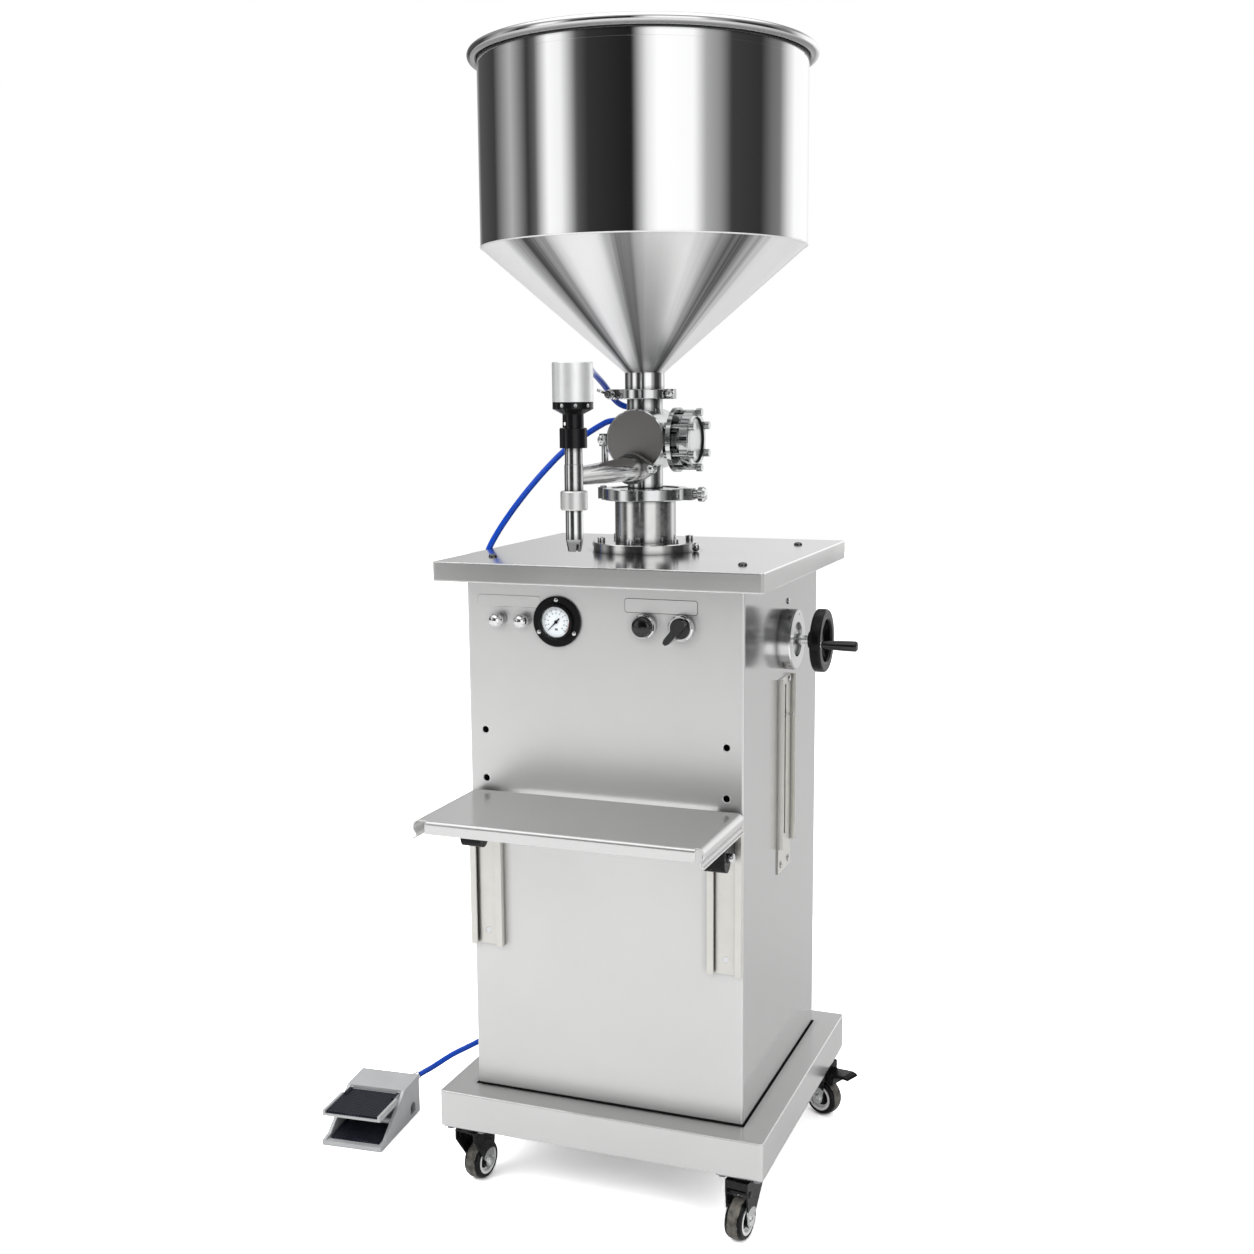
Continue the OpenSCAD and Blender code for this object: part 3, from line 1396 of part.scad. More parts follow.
// Stroke block: the nut on the lead screw, its pointer and the arm of the piston sensor
module stroke_block() {
    half = block_w / 2;
    plate_t = 10;
    arm_h = 8;
    sensor_x = head_x + cap_side / 2 + 1.5 - screw_x;
    color(aluminium) at_screw() difference() {
        union() {
            translate([-half, -10, block_z]) cube([block_w, gear_depth + 10, block_h]);
            translate([-half - plate_t, -6, sensor_z - arm_h / 2])
                cube([plate_t + past, 12, block_z + 18 - sensor_z + arm_h / 2]);
            translate([sensor_x + sensor_w - past, -6, sensor_z - arm_h / 2])
                cube([-half - sensor_x - sensor_w, 12, arm_h]);
        }
        translate([0, 0, block_z]) through(block_h, screw_r + run_gap);
        translate([0, guide_y, block_z]) through(block_h, guide_r + run_gap);
    }
    color(black) at_screw() {
        translate([sensor_x, -6, sensor_z - 11]) cube([sensor_w - past, 12, 22]);
        translate([half, -1.5, pointer_z - 1.5]) cube([wall_x + 13 - screw_x - half, 3, 3]);
    }
}

module scale_channel() {
    color(cream) machine() difference() {
        translate([wall_x, head_y - scale_w / 2, 0]) {
            translate([0, 0, scale_low - scale_foot])
                cube([scale_t, scale_w, scale_high - scale_low + scale_foot]);
            for (y = [0, scale_w - scale_t]) translate([0, y, scale_low])
                cube([scale_flange, scale_t, scale_high - scale_low]);
        }
        translate([wall_x - past, head_y, 0]) slot(scale_t + 2 * past);
        translate([-past, 0, 0]) at_scale_screws() cyl_x(scale_t + 2 * past, m4_r + screw_gap);
    }
    color(white) machine() translate([wall_x + scale_t, head_y - slot_w / 2 - 15, slot_low])
        cube([0.5, 13, slot_high - slot_low]);
}

// Front panel: everything below is drawn with its axis pointing out of the panel

module out_of_front(x) {
    machine() on_front(x, control_z) rotate([90, 0, 0]) children();
}

module gauge_case() {
    case_r = gauge_hole - screw_gap;
    floor_z = gauge_flange_t - 0.5;
    top = gauge_flange_t + gauge_bezel_h;
    color(black) out_of_front(gauge_x) difference() {
        rotate_extrude() polygon([[0, -25], [case_r, -25], [case_r, 0], [gauge_r, 0],
            [gauge_r, gauge_flange_t - 0.8], [gauge_r - 0.8, gauge_flange_t],
            [gauge_bezel_r + 1, gauge_flange_t], [gauge_bezel_r, top - 1],
            [gauge_bezel_r - 1, top], [dial_r + 1, top], [dial_r + 1, floor_z], [0, floor_z]]);
        for (a = gauge_angles) rotate([0, 0, a]) translate([gauge_screw_r, 0, 0])
            through(gauge_flange_t, m3_r);
    }
    color(white) out_of_front(gauge_x) {
        translate([0, 0, floor_z]) cylinder(h = 1, r = dial_r + 0.9);
        translate([0, 0, floor_z]) cylinder(h = 2.6, r = 1);
    }
    color("goldenrod") out_of_front(gauge_x) translate([0, 0, -37]) cylinder(h = 12, r = 6);
}

module gauge_needle() {
    needle_z = gauge_flange_t + 1;
    color(black) out_of_front(gauge_x) rotate([0, 0, -135]) translate([0, 0, needle_z])
        difference() {
            union() {
                linear_extrude(0.5)
                    polygon([[-6, -0.9], [0, -0.9], [14.5, -0.25], [14.5, 0.25], [0, 0.9], [-6, 0.9]]);
                cylinder(h = 0.8, r = 2.2);
            }
            through(0.8, 1 + run_gap);
        }
}

module gauge_glass() {
    color([0.8, 0.9, 1, 0.4]) out_of_front(gauge_x)
        translate([0, 0, gauge_flange_t + gauge_bezel_h - 2]) cylinder(h = 1.2, r = dial_r + 0.95);
}

// Chrome bezel of a switch, threaded through the panel, with its nut and contact block
module switch_bezel(r) {
    barrel = 24;
    color(chrome) {
        rotate_extrude() polygon([[switch_stem_r + run_gap, -barrel], [switch_r, -barrel],
            [switch_r, 0], [r, 0], [r, bezel_len - 1.5], [r - 1.5, bezel_len],
            [button_r + 0.3, bezel_len], [button_r + 0.3, 2], [switch_stem_r + run_gap, 2]]);
        translate([0, 0, -cabinet_t - 4]) hex_nut(26, 4, switch_r);
    }
    color(black) difference() {
        translate([-14, -15, -48]) cube([28, 30, 28]);
        translate([0, 0, -barrel - 3]) cylinder(h = 12, r = switch_r);
    }
}

module control_bezels() {
    out_of_front(button_x) switch_bezel(button_bezel_r);
    out_of_front(selector_x) switch_bezel(selector_bezel_r);
    color(chrome) for (i = [0, 1]) out_of_front(speed_x + i * speed_pitch)
        rotate_extrude() polygon([[0, -30], [8, -30], [8, -cabinet_t], [speed_bush_r, -cabinet_t],
            [speed_bush_r, 0], [7, 0], [7, 3], [speed_stem_r + run_gap, 3],
            [speed_stem_r + run_gap, -11], [0, -11]]);
}

module stop_button() {
    dome = [for (a = [0:15:90]) [button_r * cos(a), 14 + 4.5 * sin(a)]];
    color(black) out_of_front(button_x) rotate_extrude() polygon(concat([[0, -22],
        [switch_stem_r, -22], [switch_stem_r, button_travel + 2.5], [button_r, button_travel + 2.5]],
        dome));
}

module selector_lever() {
    lever_r = 23.5;
    color(black) out_of_front(selector_x) {
        rotate_extrude() polygon([[0, -22], [switch_stem_r, -22], [switch_stem_r, 2.3],
            [button_r, 2.3], [button_r, 11], [button_r - 1, 12], [0, 12]]);
        rotate([0, 0, -131]) translate([0, 0, 11.9]) linear_extrude(12) {
            polygon([[-8, -5], [lever_r - 4, -4], [lever_r, -2], [lever_r, 2],
                [lever_r - 4, 4], [-8, 5]]);
            translate([-8, 0]) circle(5);
        }
    }
}

module speed_knob(i) {
    dome = [for (a = [-20:20:80]) [8.6 * cos(a), 12 + 8.6 * sin(a)]];
    color(chrome) out_of_front(speed_x + i * speed_pitch) rotate_extrude() polygon(concat(
        [[0, -9], [speed_stem_r, -9], [speed_stem_r, 3 + hair], [5, 3 + hair], [5, 6], [8, 6.5]],
        dome, [[0, 12 + 8.6]]));
}

// Shelf, its brackets and its rails

module shelf_frame() {
    machine() translate([shelf_x, -shelf_rear, shelf_z]) children();
}

// Section of a rolled edge: over the side, back under it, and out again as a lip
module arc(r, t, from, to) {
    difference() {
        circle(r);
        circle(r - t);
        for (a = [to:45:from + 315]) rotate(a) polygon([[0, 0], [3 * r, 0], [3 * r, 3 * r]]);
    }
}

module roll_profile() {
    far = shelf_roll_r + roll_lip_r;
    arc(shelf_roll_r, shelf_t, -45, 90);
    translate([far * cos(45), -far * sin(45)]) arc(roll_lip_r + shelf_t, shelf_t, 135, 270);
}

// What the shelf's rolled edges take up, with a hair's clearance
module roll_room() {
    shelf_frame() for (i = [0, 1]) mirror([i, 0, 0])
        translate([shelf_flat - hair, -shelf_d, -roll_depth - hair])
            cube([3 * shelf_roll_r, shelf_d + 2, roll_depth + hair + past]);
}

module shelf() {
    bend_y = -shelf_d + shelf_flange_r;
    front_left = -rail_x - 2.5;
    front_w = shelf_flat - front_left;
    drop = shelf_flange_h - shelf_flange_r;
    corner = 5;
    color(steel) shelf_frame() {
        translate([-shelf_flat, -roll_len, -shelf_t]) cube([2 * shelf_flat, roll_len, shelf_t]);
        for (i = [0, 1]) mirror([i, 0, 0])
            translate([shelf_flat, 0, -shelf_roll_r]) rotate([90, 0, 0])
                linear_extrude(roll_len) roll_profile();
        translate([front_left, shelf_t - shelf_d, -shelf_flange_h]) rotate([90, 0, 0])
            linear_extrude(shelf_t) {
                square([front_w - corner, drop]);
                translate([0, corner]) square([front_w, drop - corner]);
                translate([front_w - corner, corner]) circle(corner);
            }
        translate([front_left, 0, 0]) rotate([90, 0, 90]) linear_extrude(front_w) {
            translate([bend_y, -shelf_t]) square([-roll_len - bend_y + past, shelf_t]);
            translate([bend_y, -shelf_flange_r]) arc(shelf_flange_r, shelf_t, 90, 180);
        }
    }
}

module shelf_brackets() {
    nose = 12;
    boss_r = 9;
    front_y = -bracket_y - bracket_reach;
    slider_w = rail_w - 2 * rail_t - 2 * hair;
    slider_back = wall_y + rail_t + hair;
    slider_front = wall_y + rail_depth - rail_t - hair;
    color(black) difference() {
        machine() for (i = sides) translate([i * rail_x, 0, 0]) difference() {
            union() {
                translate([-bracket_w / 2, 0, 0]) rotate([90, 0, 90]) linear_extrude(bracket_w) {
                    translate([front_y, bracket_low + nose])
                        square([2 * nose, shelf_low - bracket_low - nose]);
                    translate([front_y, clamp_z]) square([bracket_reach, shelf_low - clamp_z]);
                    translate([front_y + nose, bracket_low + nose]) circle(nose);
                    translate([-bracket_y - boss_r, clamp_z]) circle(boss_r);
                }
                translate([-rail_gap / 2 + hair, -bracket_y - past, slider_low])
                    cube([rail_gap - 2 * hair, bracket_y + past - slider_front + past,
                        slider_top - slider_low]);
                translate([-slider_w / 2, -slider_front, slider_low])
                    cube([slider_w, slider_front - slider_back, slider_top - slider_low]);
            }
            translate([-bracket_w, -clamp_y, clamp_z])
                cyl_x(2 * bracket_w, shelf_clamp_r + run_gap);
        }
        roll_room();
    }
}

module shelf_rails() {
    color(cream) machine() for (i = sides) difference() {
        translate([i * rail_x, -wall_y, rail_low]) linear_extrude(rail_len) {
            translate([-rail_w / 2, -rail_t]) square([rail_w, rail_t]);
            for (j = [0, 1]) mirror([j, 0]) {
                translate([rail_w / 2 - rail_t, -rail_depth]) square([rail_t, rail_depth]);
                translate([rail_gap / 2, -rail_depth]) square([(rail_w - rail_gap) / 2, rail_t]);
            }
        }
        at_rail_screws(rail_screws) translate([0, -rail_t, 0]) rotate([90, 0, 0])
            flush_screw(rail_t + 5);
    }
}

// Clamp screw through a shelf bracket, with a knurled knob on its outer face
module shelf_screw(side) {
    color(chrome) machine() translate([side * rail_x, -clamp_y, clamp_z]) rotate([0, side * 90, 0])
        rotate_extrude() polygon([[0, 2 - bracket_w / 2], [shelf_clamp_r, 2 - bracket_w / 2],
            [shelf_clamp_r, bracket_w / 2 + hair], [6, bracket_w / 2 + hair],
            [6, bracket_w / 2 + 6], [5, bracket_w / 2 + 7], [0, bracket_w / 2 + 7]]);
}

// Foot valve, drawn about its own centre with its toe towards the front

module foot() {
    machine() translate([foot_x, foot_y, 0]) rotate([0, 0, foot_turn]) children();
}

module across(half) {
    translate([-half, 0, 0]) rotate([90, 0, 90]) linear_extrude(2 * half) children();
}

module foot_valve_body() {
    half = foot_w / 2;
    back = foot_l / 2;
    color(steel) foot() difference() {
        union() {
            for (x = [-half, half - cheek]) translate([x, 0, 0]) rotate([90, 0, 90])
                linear_extrude(cheek) polygon([[back, 0], [back, foot_h], [foot_top_y, foot_h - 2],
                    [foot_nose_y, 9], [-back, 7], [-back, 0]]);
            across(half) polygon([[back, foot_h], [foot_top_y, foot_h - 2],
                [foot_top_y, foot_h - 7], [back, foot_h - 6]]);
            across(half) translate([back - cheek, 0]) square([cheek, foot_h]);
            across(half) translate([-back, 0]) square([foot_l, foot_deck]);
            across(half) translate([-back, 0]) square([7, foot_deck + 1.5]);
        }
        translate([-half, 0, 0]) {
            translate([0, pedal_pin_y, pedal_pin_z]) translate([-past, 0, 0])
                cyl_x(foot_w + 2 * past, pin_r + run_gap);
            translate([-past, foot_stop_y, foot_stop_z]) cyl_x(foot_w + 2 * past, foot_stop_r);
            translate([-past, arch_y, arch_z]) cyl_x(foot_w + 2 * past, arch_r);
            translate([-past, arch_y - arch_r, foot_deck + 1])
                cube([foot_w + 2 * past, 2 * arch_r, arch_z - foot_deck - 1]);
        }
    }
    color(chrome) foot() translate([-half, 0, 0]) {
        translate([0, pedal_pin_y, pedal_pin_z]) cyl_x(foot_w, pin_r);
        translate([0, foot_stop_y, foot_stop_z]) cyl_x(foot_w, foot_stop_r);
    }
    color(aluminium) foot() translate([-16, foot_top_y + 1, foot_deck])
        cube([32, back - cheek - foot_top_y - 1, foot_h - foot_deck - 12]);
    color(black) foot() across(half - cheek - 3)
        polygon([[-back + 10, foot_deck], [foot_top_y - 8, foot_deck], [foot_top_y - 8, foot_deck + 7],
            [-back + 12, foot_deck + 3]]);
}

module foot_pedal() {
    half = foot_w / 2 - 1;
    toe = -foot_l / 2 + 2;
    wide_end = foot_top_y - 22;
    heel = foot_top_y - 1;
    rail_h = 8;
    rail = 4;
    deck_z = foot_pedal_top - 5;
    color(steel) foot() difference() {
        union() {
            translate([-half, toe, foot_pedal_top - rail_h]) cube([2 * half, wide_end - toe, 3]);
            for (x = [-half, half - rail]) translate([x, toe, foot_pedal_top - rail_h])
                cube([rail, wide_end - toe, rail_h]);
            translate([-pedal_gap, wide_end - past, deck_z - 3])
                cube([2 * pedal_gap, heel - wide_end + past, 3]);
            for (x = [-pedal_gap, pedal_gap - cheek]) {
                translate([x, wide_end - past, deck_z - 3]) cube([cheek, heel - wide_end + past, rail_h]);
                translate([x, pedal_pin_y, pedal_pin_z]) cyl_x(cheek, 6);
            }
            translate([-8, pedal_pin_y - 4, pedal_pin_z - 12]) cube([16, 8, 12]);
        }
        translate([-foot_w, pedal_pin_y, pedal_pin_z]) cyl_x(2 * foot_w, pin_r + run_gap);
    }
    color(black) foot() translate([-half + rail + 1, toe + 2, deck_z])
        cube([2 * (half - rail - 1), heel - toe - 4, 3.2]);
}

// Air fittings: each hose starts or ends face to face with one

module towards(v) {
    rotate([0, acos(v[2] / norm(v)), atan2(v[1], v[0])]) children();
}

module elbow(arm, length) {
    sphere(fitting_r);
    towards(arm) cylinder(h = length, r = fitting_r - 0.5);
}

module air_fittings() {
    bore_y = nozzle_from[1] - 11.5;
    color(chrome) machine() {
        translate([head_x, bore_y, air_port_z]) {
            translate([0, -5, 0]) cyl_y(6, 2);
            cyl_y(11.5, fitting_r);
        }
        translate([head_x - 20, head_y + actuator_y + 22, valve_z + actuator_side / 2]) {
            cylinder(h = 12, r = fitting_r);
            translate([0, 0, 12]) elbow([-1, -1, 0], elbow_arm * sqrt(2));
        }
        translate(valve_from) cyl_x(22, fitting_r);
        translate(valve_port) {
            translate([-13, 0, 0]) cyl_x(13 + cabinet_t + 9, fitting_r);
            translate([-13, 0, 0]) elbow([0, 0, 1], 10);
            translate([cabinet_t, 0, 0]) cyl_x(5, fitting_r + 3);
            translate([-4, 0, 0]) cyl_x(4, fitting_r + 3);
        }
        translate(foot_port) {
            translate([-20, 0, 0]) cyl_x(20 + cabinet_t + 9, fitting_r);
            translate([cabinet_t, 0, 0]) cyl_x(5, fitting_r + 3);
            translate([-4, 0, 0]) cyl_x(4, fitting_r + 3);
        }
        translate(inlet_port) difference() {
            union() {
                translate([0, -cabinet_t - 9, 0]) cyl_y(cabinet_t + 9 + 22, fitting_r);
                translate([0, -cabinet_t - 5, 0]) cyl_y(5, fitting_r + 3);
                cyl_y(4, fitting_r + 3);
            }
            translate([0, 4, 0]) cyl_y(20, hose_r + run_gap);
        }
    }
    color(chrome) foot() translate([32.4, foot_l / 2, foot_h - 10]) {
        cyl_y(9, fitting_r - 0.5);
        translate([0, 9, 0]) elbow(foot_elbow, 9 * norm(foot_elbow));
    }
    color(aluminium) machine() translate([-inner_x, 25, cab_mid + 60]) cube([42, 90, 70]);
}

// Hoses: a round tube swept along a smooth line through each route's points

function unit(v) = v / norm(v);

function spline(p, q, r, s, t) = 0.5 * (2 * q + (r - p) * t
    + (2 * p - 5 * q + 4 * r - s) * t * t + (3 * q - p - 3 * r + s) * t * t * t);

function extended(p) = concat([2 * p[0] - p[1]], p, [2 * p[len(p) - 1] - p[len(p) - 2]]);

function smooth(p, steps) = let (q = extended(p)) concat(
    [for (i = [0:len(p) - 2], k = [0:steps - 1])
        spline(q[i], q[i + 1], q[i + 2], q[i + 3], k / steps)],
    [p[len(p) - 1]]);

module tube_along(path, start, end, r, n, across) {
    last = len(path) - 1;
    points = [for (i = [0:last])
        let (
            t = i == 0 ? unit(start) : i == last ? unit(end) : unit(path[i + 1] - path[i - 1]),
            u = unit(cross(t, across)),
            v = cross(t, u)
        )
        for (k = [0:n - 1]) path[i] + r * (cos(k * 360 / n) * u + sin(k * 360 / n) * v)];
    walls = [for (i = [0:last - 1], k = [0:n - 1])
        let (a = i * n + k, b = i * n + (k + 1) % n)
        each [[a, a + n, b + n], [a, b + n, b]]];
    near = [for (k = [1:n - 2]) [0, k, k + 1]];
    far = [for (k = [1:n - 2]) [last * n, last * n + k + 1, last * n + k]];
    polyhedron(points = points, faces = concat(walls, near, far), convexity = 6);
}

module hose(points, steps, across) {
    last = len(points) - 1;
    color(blue) machine() tube_along(smooth(points, steps), points[1] - points[0],
        points[last] - points[last - 1], hose_r, 12, across);
}

module nozzle_hose() {
    hose(nozzle_route, 2, [0, 0, 1]);
}

module valve_hose() {
    hose(valve_route, 3, [0, 1, 0]);
}

module foot_hose() {
    hose(foot_route, 2, [0, 0, 1]);
}

base_pan();
cabinet();
rear_panel();
tabletop();
fixings();
caster_plates();
metering_cylinder();
valve_body();
valve_rotor();
valve_actuator();
cleanout_cap();
pipe_clamps();
hopper_wing_nut();
clamp_knob();
hopper();
outlet_pipe();
nozzle_tip();
nozzle_adapter();
nozzle_air_cylinder();
nozzle_stem();
nozzle_spring();
metering_piston();
piston_rod();
drive_frame();
drive_cylinder();
bearing_blocks();
lead_screw();
stroke_block();
handwheel();
handwheel_grip();
scale_channel();
gauge_case();
gauge_needle();
gauge_glass();
stop_button();
selector_lever();
control_bezels();
speed_knob(0);  // speed_knob_left
speed_knob(1);  // speed_knob_right
shelf();
shelf_brackets();
shelf_rails();
shelf_screw(-1);  // shelf_screw_left
shelf_screw(1);  // shelf_screw_right
caster_fork(0);  // caster_fork_1
caster_fork(1);  // caster_fork_2
caster_fork(2);  // caster_fork_3
caster_fork(3);  // caster_fork_4
caster_wheel(0);  // caster_wheel_1
caster_wheel(1);  // caster_wheel_2
caster_wheel(2);  // caster_wheel_3
caster_wheel(3);  // caster_wheel_4
brake_pedal(2);  // brake_pedal_3
brake_pedal(3);  // brake_pedal_4
foot_valve_body();
foot_pedal();
air_fittings();
nozzle_hose();
valve_hose();
foot_hose();
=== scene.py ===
"""Piston filling machine on casters: looks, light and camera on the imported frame."""
import math

import bmesh
import bpy
from mathutils import Matrix, Vector


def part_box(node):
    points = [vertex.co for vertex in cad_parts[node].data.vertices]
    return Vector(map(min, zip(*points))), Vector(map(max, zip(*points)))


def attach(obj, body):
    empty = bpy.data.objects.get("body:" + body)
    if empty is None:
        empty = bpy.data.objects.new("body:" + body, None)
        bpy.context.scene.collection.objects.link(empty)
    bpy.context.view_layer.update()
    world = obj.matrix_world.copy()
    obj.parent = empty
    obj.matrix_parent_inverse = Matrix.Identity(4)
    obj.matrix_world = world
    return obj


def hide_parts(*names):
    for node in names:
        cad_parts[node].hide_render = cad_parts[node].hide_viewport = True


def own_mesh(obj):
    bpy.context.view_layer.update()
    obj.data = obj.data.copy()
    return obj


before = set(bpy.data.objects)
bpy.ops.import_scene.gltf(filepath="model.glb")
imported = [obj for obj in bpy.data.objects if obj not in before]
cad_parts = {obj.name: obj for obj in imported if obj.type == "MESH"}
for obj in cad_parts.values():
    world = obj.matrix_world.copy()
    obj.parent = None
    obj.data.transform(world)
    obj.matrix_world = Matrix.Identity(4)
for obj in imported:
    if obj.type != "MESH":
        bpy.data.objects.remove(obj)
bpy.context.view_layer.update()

ROOT = "machine"

# The machine frame: millimetres from the cabinet's centre, with z from the floor
LOW, HIGH = (Vector(c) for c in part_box("cabinet"))
CENTRE = (LOW + HIGH) / 2
HEAD = (-8.0, 5.0)             # the upright axis of the hopper, the valve and the cylinder
DRUM_Z = 961                   # the valve drum's axis
NOZZLE_Y = -237                # the nozzle's upright axis, from the head's
WHEEL_Y, WHEEL_Z = 5, 711      # the handwheel's axis
GAUGE_X, GAUGE_Z = -57.5, 747  # the gauge's axis
PANEL_Y = -171.5               # the cabinet's front face
FOOT_X, FOOT_Y = -388.5, -91   # the foot valve's centre
FOOT_TURN = math.radians(5)
CAMERA_AZIMUTH = math.radians(21.0)

WHITE = (1.0, 1.0, 1.0)
SOFT_SAMPLES = 6  # of the nodes that look round the shaded point


def at(x, y, z):
    """A point of the machine frame, in the row frame's metres."""
    return Vector((CENTRE.x + x / 1000, CENTRE.y + y / 1000, z / 1000))


def at_head(x, y, z):
    """A point given from the head's upright axis."""
    return at(HEAD[0] + x, HEAD[1] + y, z)


def grey(level):
    """A neutral colour."""
    return (level, level, level)


# ---------------------------------------------------------------- node helpers


def feed(tree, socket, value):
    """Links another node's output to a socket, or sets the socket to a value."""
    if isinstance(value, bpy.types.NodeSocket):
        tree.links.new(value, socket)
    else:
        socket.default_value = value


def add_node(tree, kind, out=0, props=None, **inputs):
    """A new node's output. Its inputs go by name, or by place as i0, i1 and so on."""
    n = tree.nodes.new(kind)
    for key, value in (props or {}).items():
        setattr(n, key, value)
    for key, value in inputs.items():
        by_place = key[0] == "i" and key[1:].isdigit()
        feed(tree, n.inputs[int(key[1:]) if by_place else key], value)
    return n.outputs[out]


class Shader:
    """A material with one Principled shader, and short calls for its nodes."""

    def __init__(self, name, color, metallic, rough, **sockets):
        self.mat = bpy.data.materials.new(name)
        self.mat.use_nodes = True
        self.tree = self.mat.node_tree
        self.bsdf = self.tree.nodes["Principled BSDF"]
        self.set("Base Color", (*color, 1.0))
        self.set("Metallic", metallic)
        self.set("Roughness", rough)
        for key, value in sockets.items():
            self.set(key.replace("_", " "), value)
        self.point = self.node("ShaderNodeTexCoord", "Object")

    def set(self, key, value):
        feed(self.tree, self.bsdf.inputs[key], value)

    def now(self, key):
        """What feeds a socket of the shader now: its link, or its value."""
        socket = self.bsdf.inputs[key]
        if socket.links:
            return socket.links[0].from_socket
        value = socket.default_value
        return value if isinstance(value, float) else tuple(value)[:3]

    def node(self, kind, out=0, props=None, **inputs):
        return add_node(self.tree, kind, out, props, **inputs)

    # Numbers

    def math(self, op, a, b=0.0):
        return self.node("ShaderNodeMath", props={"operation": op}, i0=a, i1=b)

    def times(self, a, *others):
        """A product; of zeros and ones it is 1 where all of them hold."""
        for b in others:
            a = self.math("MULTIPLY", a, b)
        return a

    def plus(self, a, b):
        return self.math("ADD", a, b)

    def flip(self, fac):
        return self.math("SUBTRACT", 1.0, fac)

    def below(self, value, edge):
        return self.math("LESS_THAN", value, edge)

    def above(self, value, edge):
        return self.math("GREATER_THAN", value, edge)

    def near(self, value, middle, half):
        """1 within this distance of the middle."""
        return self.below(self.math("ABSOLUTE", self.math("SUBTRACT", value, middle)), half)

    def ramp(self, value, low, high, to_low=0.0, to_high=1.0):
        return self.node("ShaderNodeMapRange", i0=value, i1=low, i2=high, i3=to_low, i4=to_high)

    def step(self, value, edge, width=0.0002):
        """0 below the edge and 1 above it, a little soft."""
        return self.ramp(value, edge - width, edge + width)

    def blend(self, fac, a, b):
        """A number that goes from a to b."""
        return self.plus(self.times(fac, b), self.times(self.flip(fac), a))

    def noise(self, vector, scale=1.0, detail=2.0, rough=0.5):
        return self.node("ShaderNodeTexNoise", "Fac", Vector=vector, Scale=scale, Detail=detail,
                         Roughness=rough)

    # Places and directions

    def vec(self, op, a, b, out=0):
        return self.node("ShaderNodeVectorMath", out, {"operation": op}, i0=a, i1=b)

    def part(self, name, vector):
        return self.node("ShaderNodeSeparateXYZ", name, Vector=vector)

    def axis(self, name):
        return self.part(name, self.point)

    def line(self, **place):
        """A vector with one number on one axis, for noise along that axis alone."""
        return self.node("ShaderNodeCombineXYZ", **place)

    def length(self, vector):
        return self.node("ShaderNodeVectorMath", "Value", {"operation": "LENGTH"}, i0=vector)

    def away(self, place):
        """The way from a place to the shaded point."""
        return self.vec("SUBTRACT", self.point, tuple(place))

    def reach(self, place, axes=(1, 1, 1)):
        """The distance from a place, or from the line through it along the axis left out."""
        return self.length(self.vec("MULTIPLY", self.away(place), axes))

    def stretch(self, scale):
        return self.node("ShaderNodeMapping", Vector=self.point, Scale=scale)

    # Colour and relief

    def mix(self, fac, a, b):
        """A colour that goes from a to b."""
        n = self.tree.nodes.new("ShaderNodeMix")
        n.data_type = "RGBA"
        sockets = {s.identifier: s for s in n.inputs}
        feed(self.tree, sockets["Factor_Float"], fac)
        for key, value in (("A_Color", a), ("B_Color", b)):
            feed(self.tree, sockets[key], (*value, 1.0) if isinstance(value, tuple) else value)
        return next(s for s in n.outputs if s.identifier == "Result_Color")

    def tint(self, fac, color):
        """Takes the base colour towards another one."""
        self.set("Base Color", self.mix(fac, self.now("Base Color"), color))

    def tone(self, color, scale, spread):
        """The base colour with a slow variation of its brightness."""
        fac = self.ramp(self.noise(self.point, scale, 3.0), 0.3, 0.7)
        self.set("Base Color", self.mix(fac, tuple(c * (1 - spread) for c in color), color))

    def crevice_shade(self, distance, depth):
        """Painted shade: darkens the base colour where surfaces stand close together, from an
        occlusion node.
        """
        open_air = self.node("ShaderNodeAmbientOcclusion", "AO", {"samples": SOFT_SAMPLES},
                             Distance=distance)
        self.tint(self.times(self.ramp(open_air, 1.0, 0.35), depth), grey(0.03))

    def painted_dark_streak(self, depth):
        """Painted reflection: a dark streak down round parts, where they face right and a little
        to the rear.
        """
        azimuth = math.radians(111)  # from the front
        way = (math.sin(azimuth), -math.cos(azimuth), 0)
        facing = self.vec("DOT_PRODUCT", self.node("ShaderNodeTexCoord", "Normal"), way, "Value")
        self.tint(self.times(self.ramp(facing, 0.88, 0.98), depth), grey(0.04))

    def edges(self, radius):
        """The normal with the edges rounded off."""
        return self.node("ShaderNodeBevel", props={"samples": SOFT_SAMPLES}, Radius=radius)

    def bump(self, height, strength, distance=0.0003, normal=None):
        rounded = {} if normal is None else {"Normal": normal}
        self.set("Normal", self.node("ShaderNodeBump", Height=height, Strength=strength,
                                     Distance=distance, **rounded))


def dress(material, *nodes):
    """Gives a material to the frame's own nodes."""
    for name in nodes:
        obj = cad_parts[name]
        for slot in obj.material_slots:
            slot.link = "OBJECT"
            slot.material = material
        if not obj.material_slots:
            obj.data.materials.append(material)


# ---------------------------------------------------------------- sheet steel


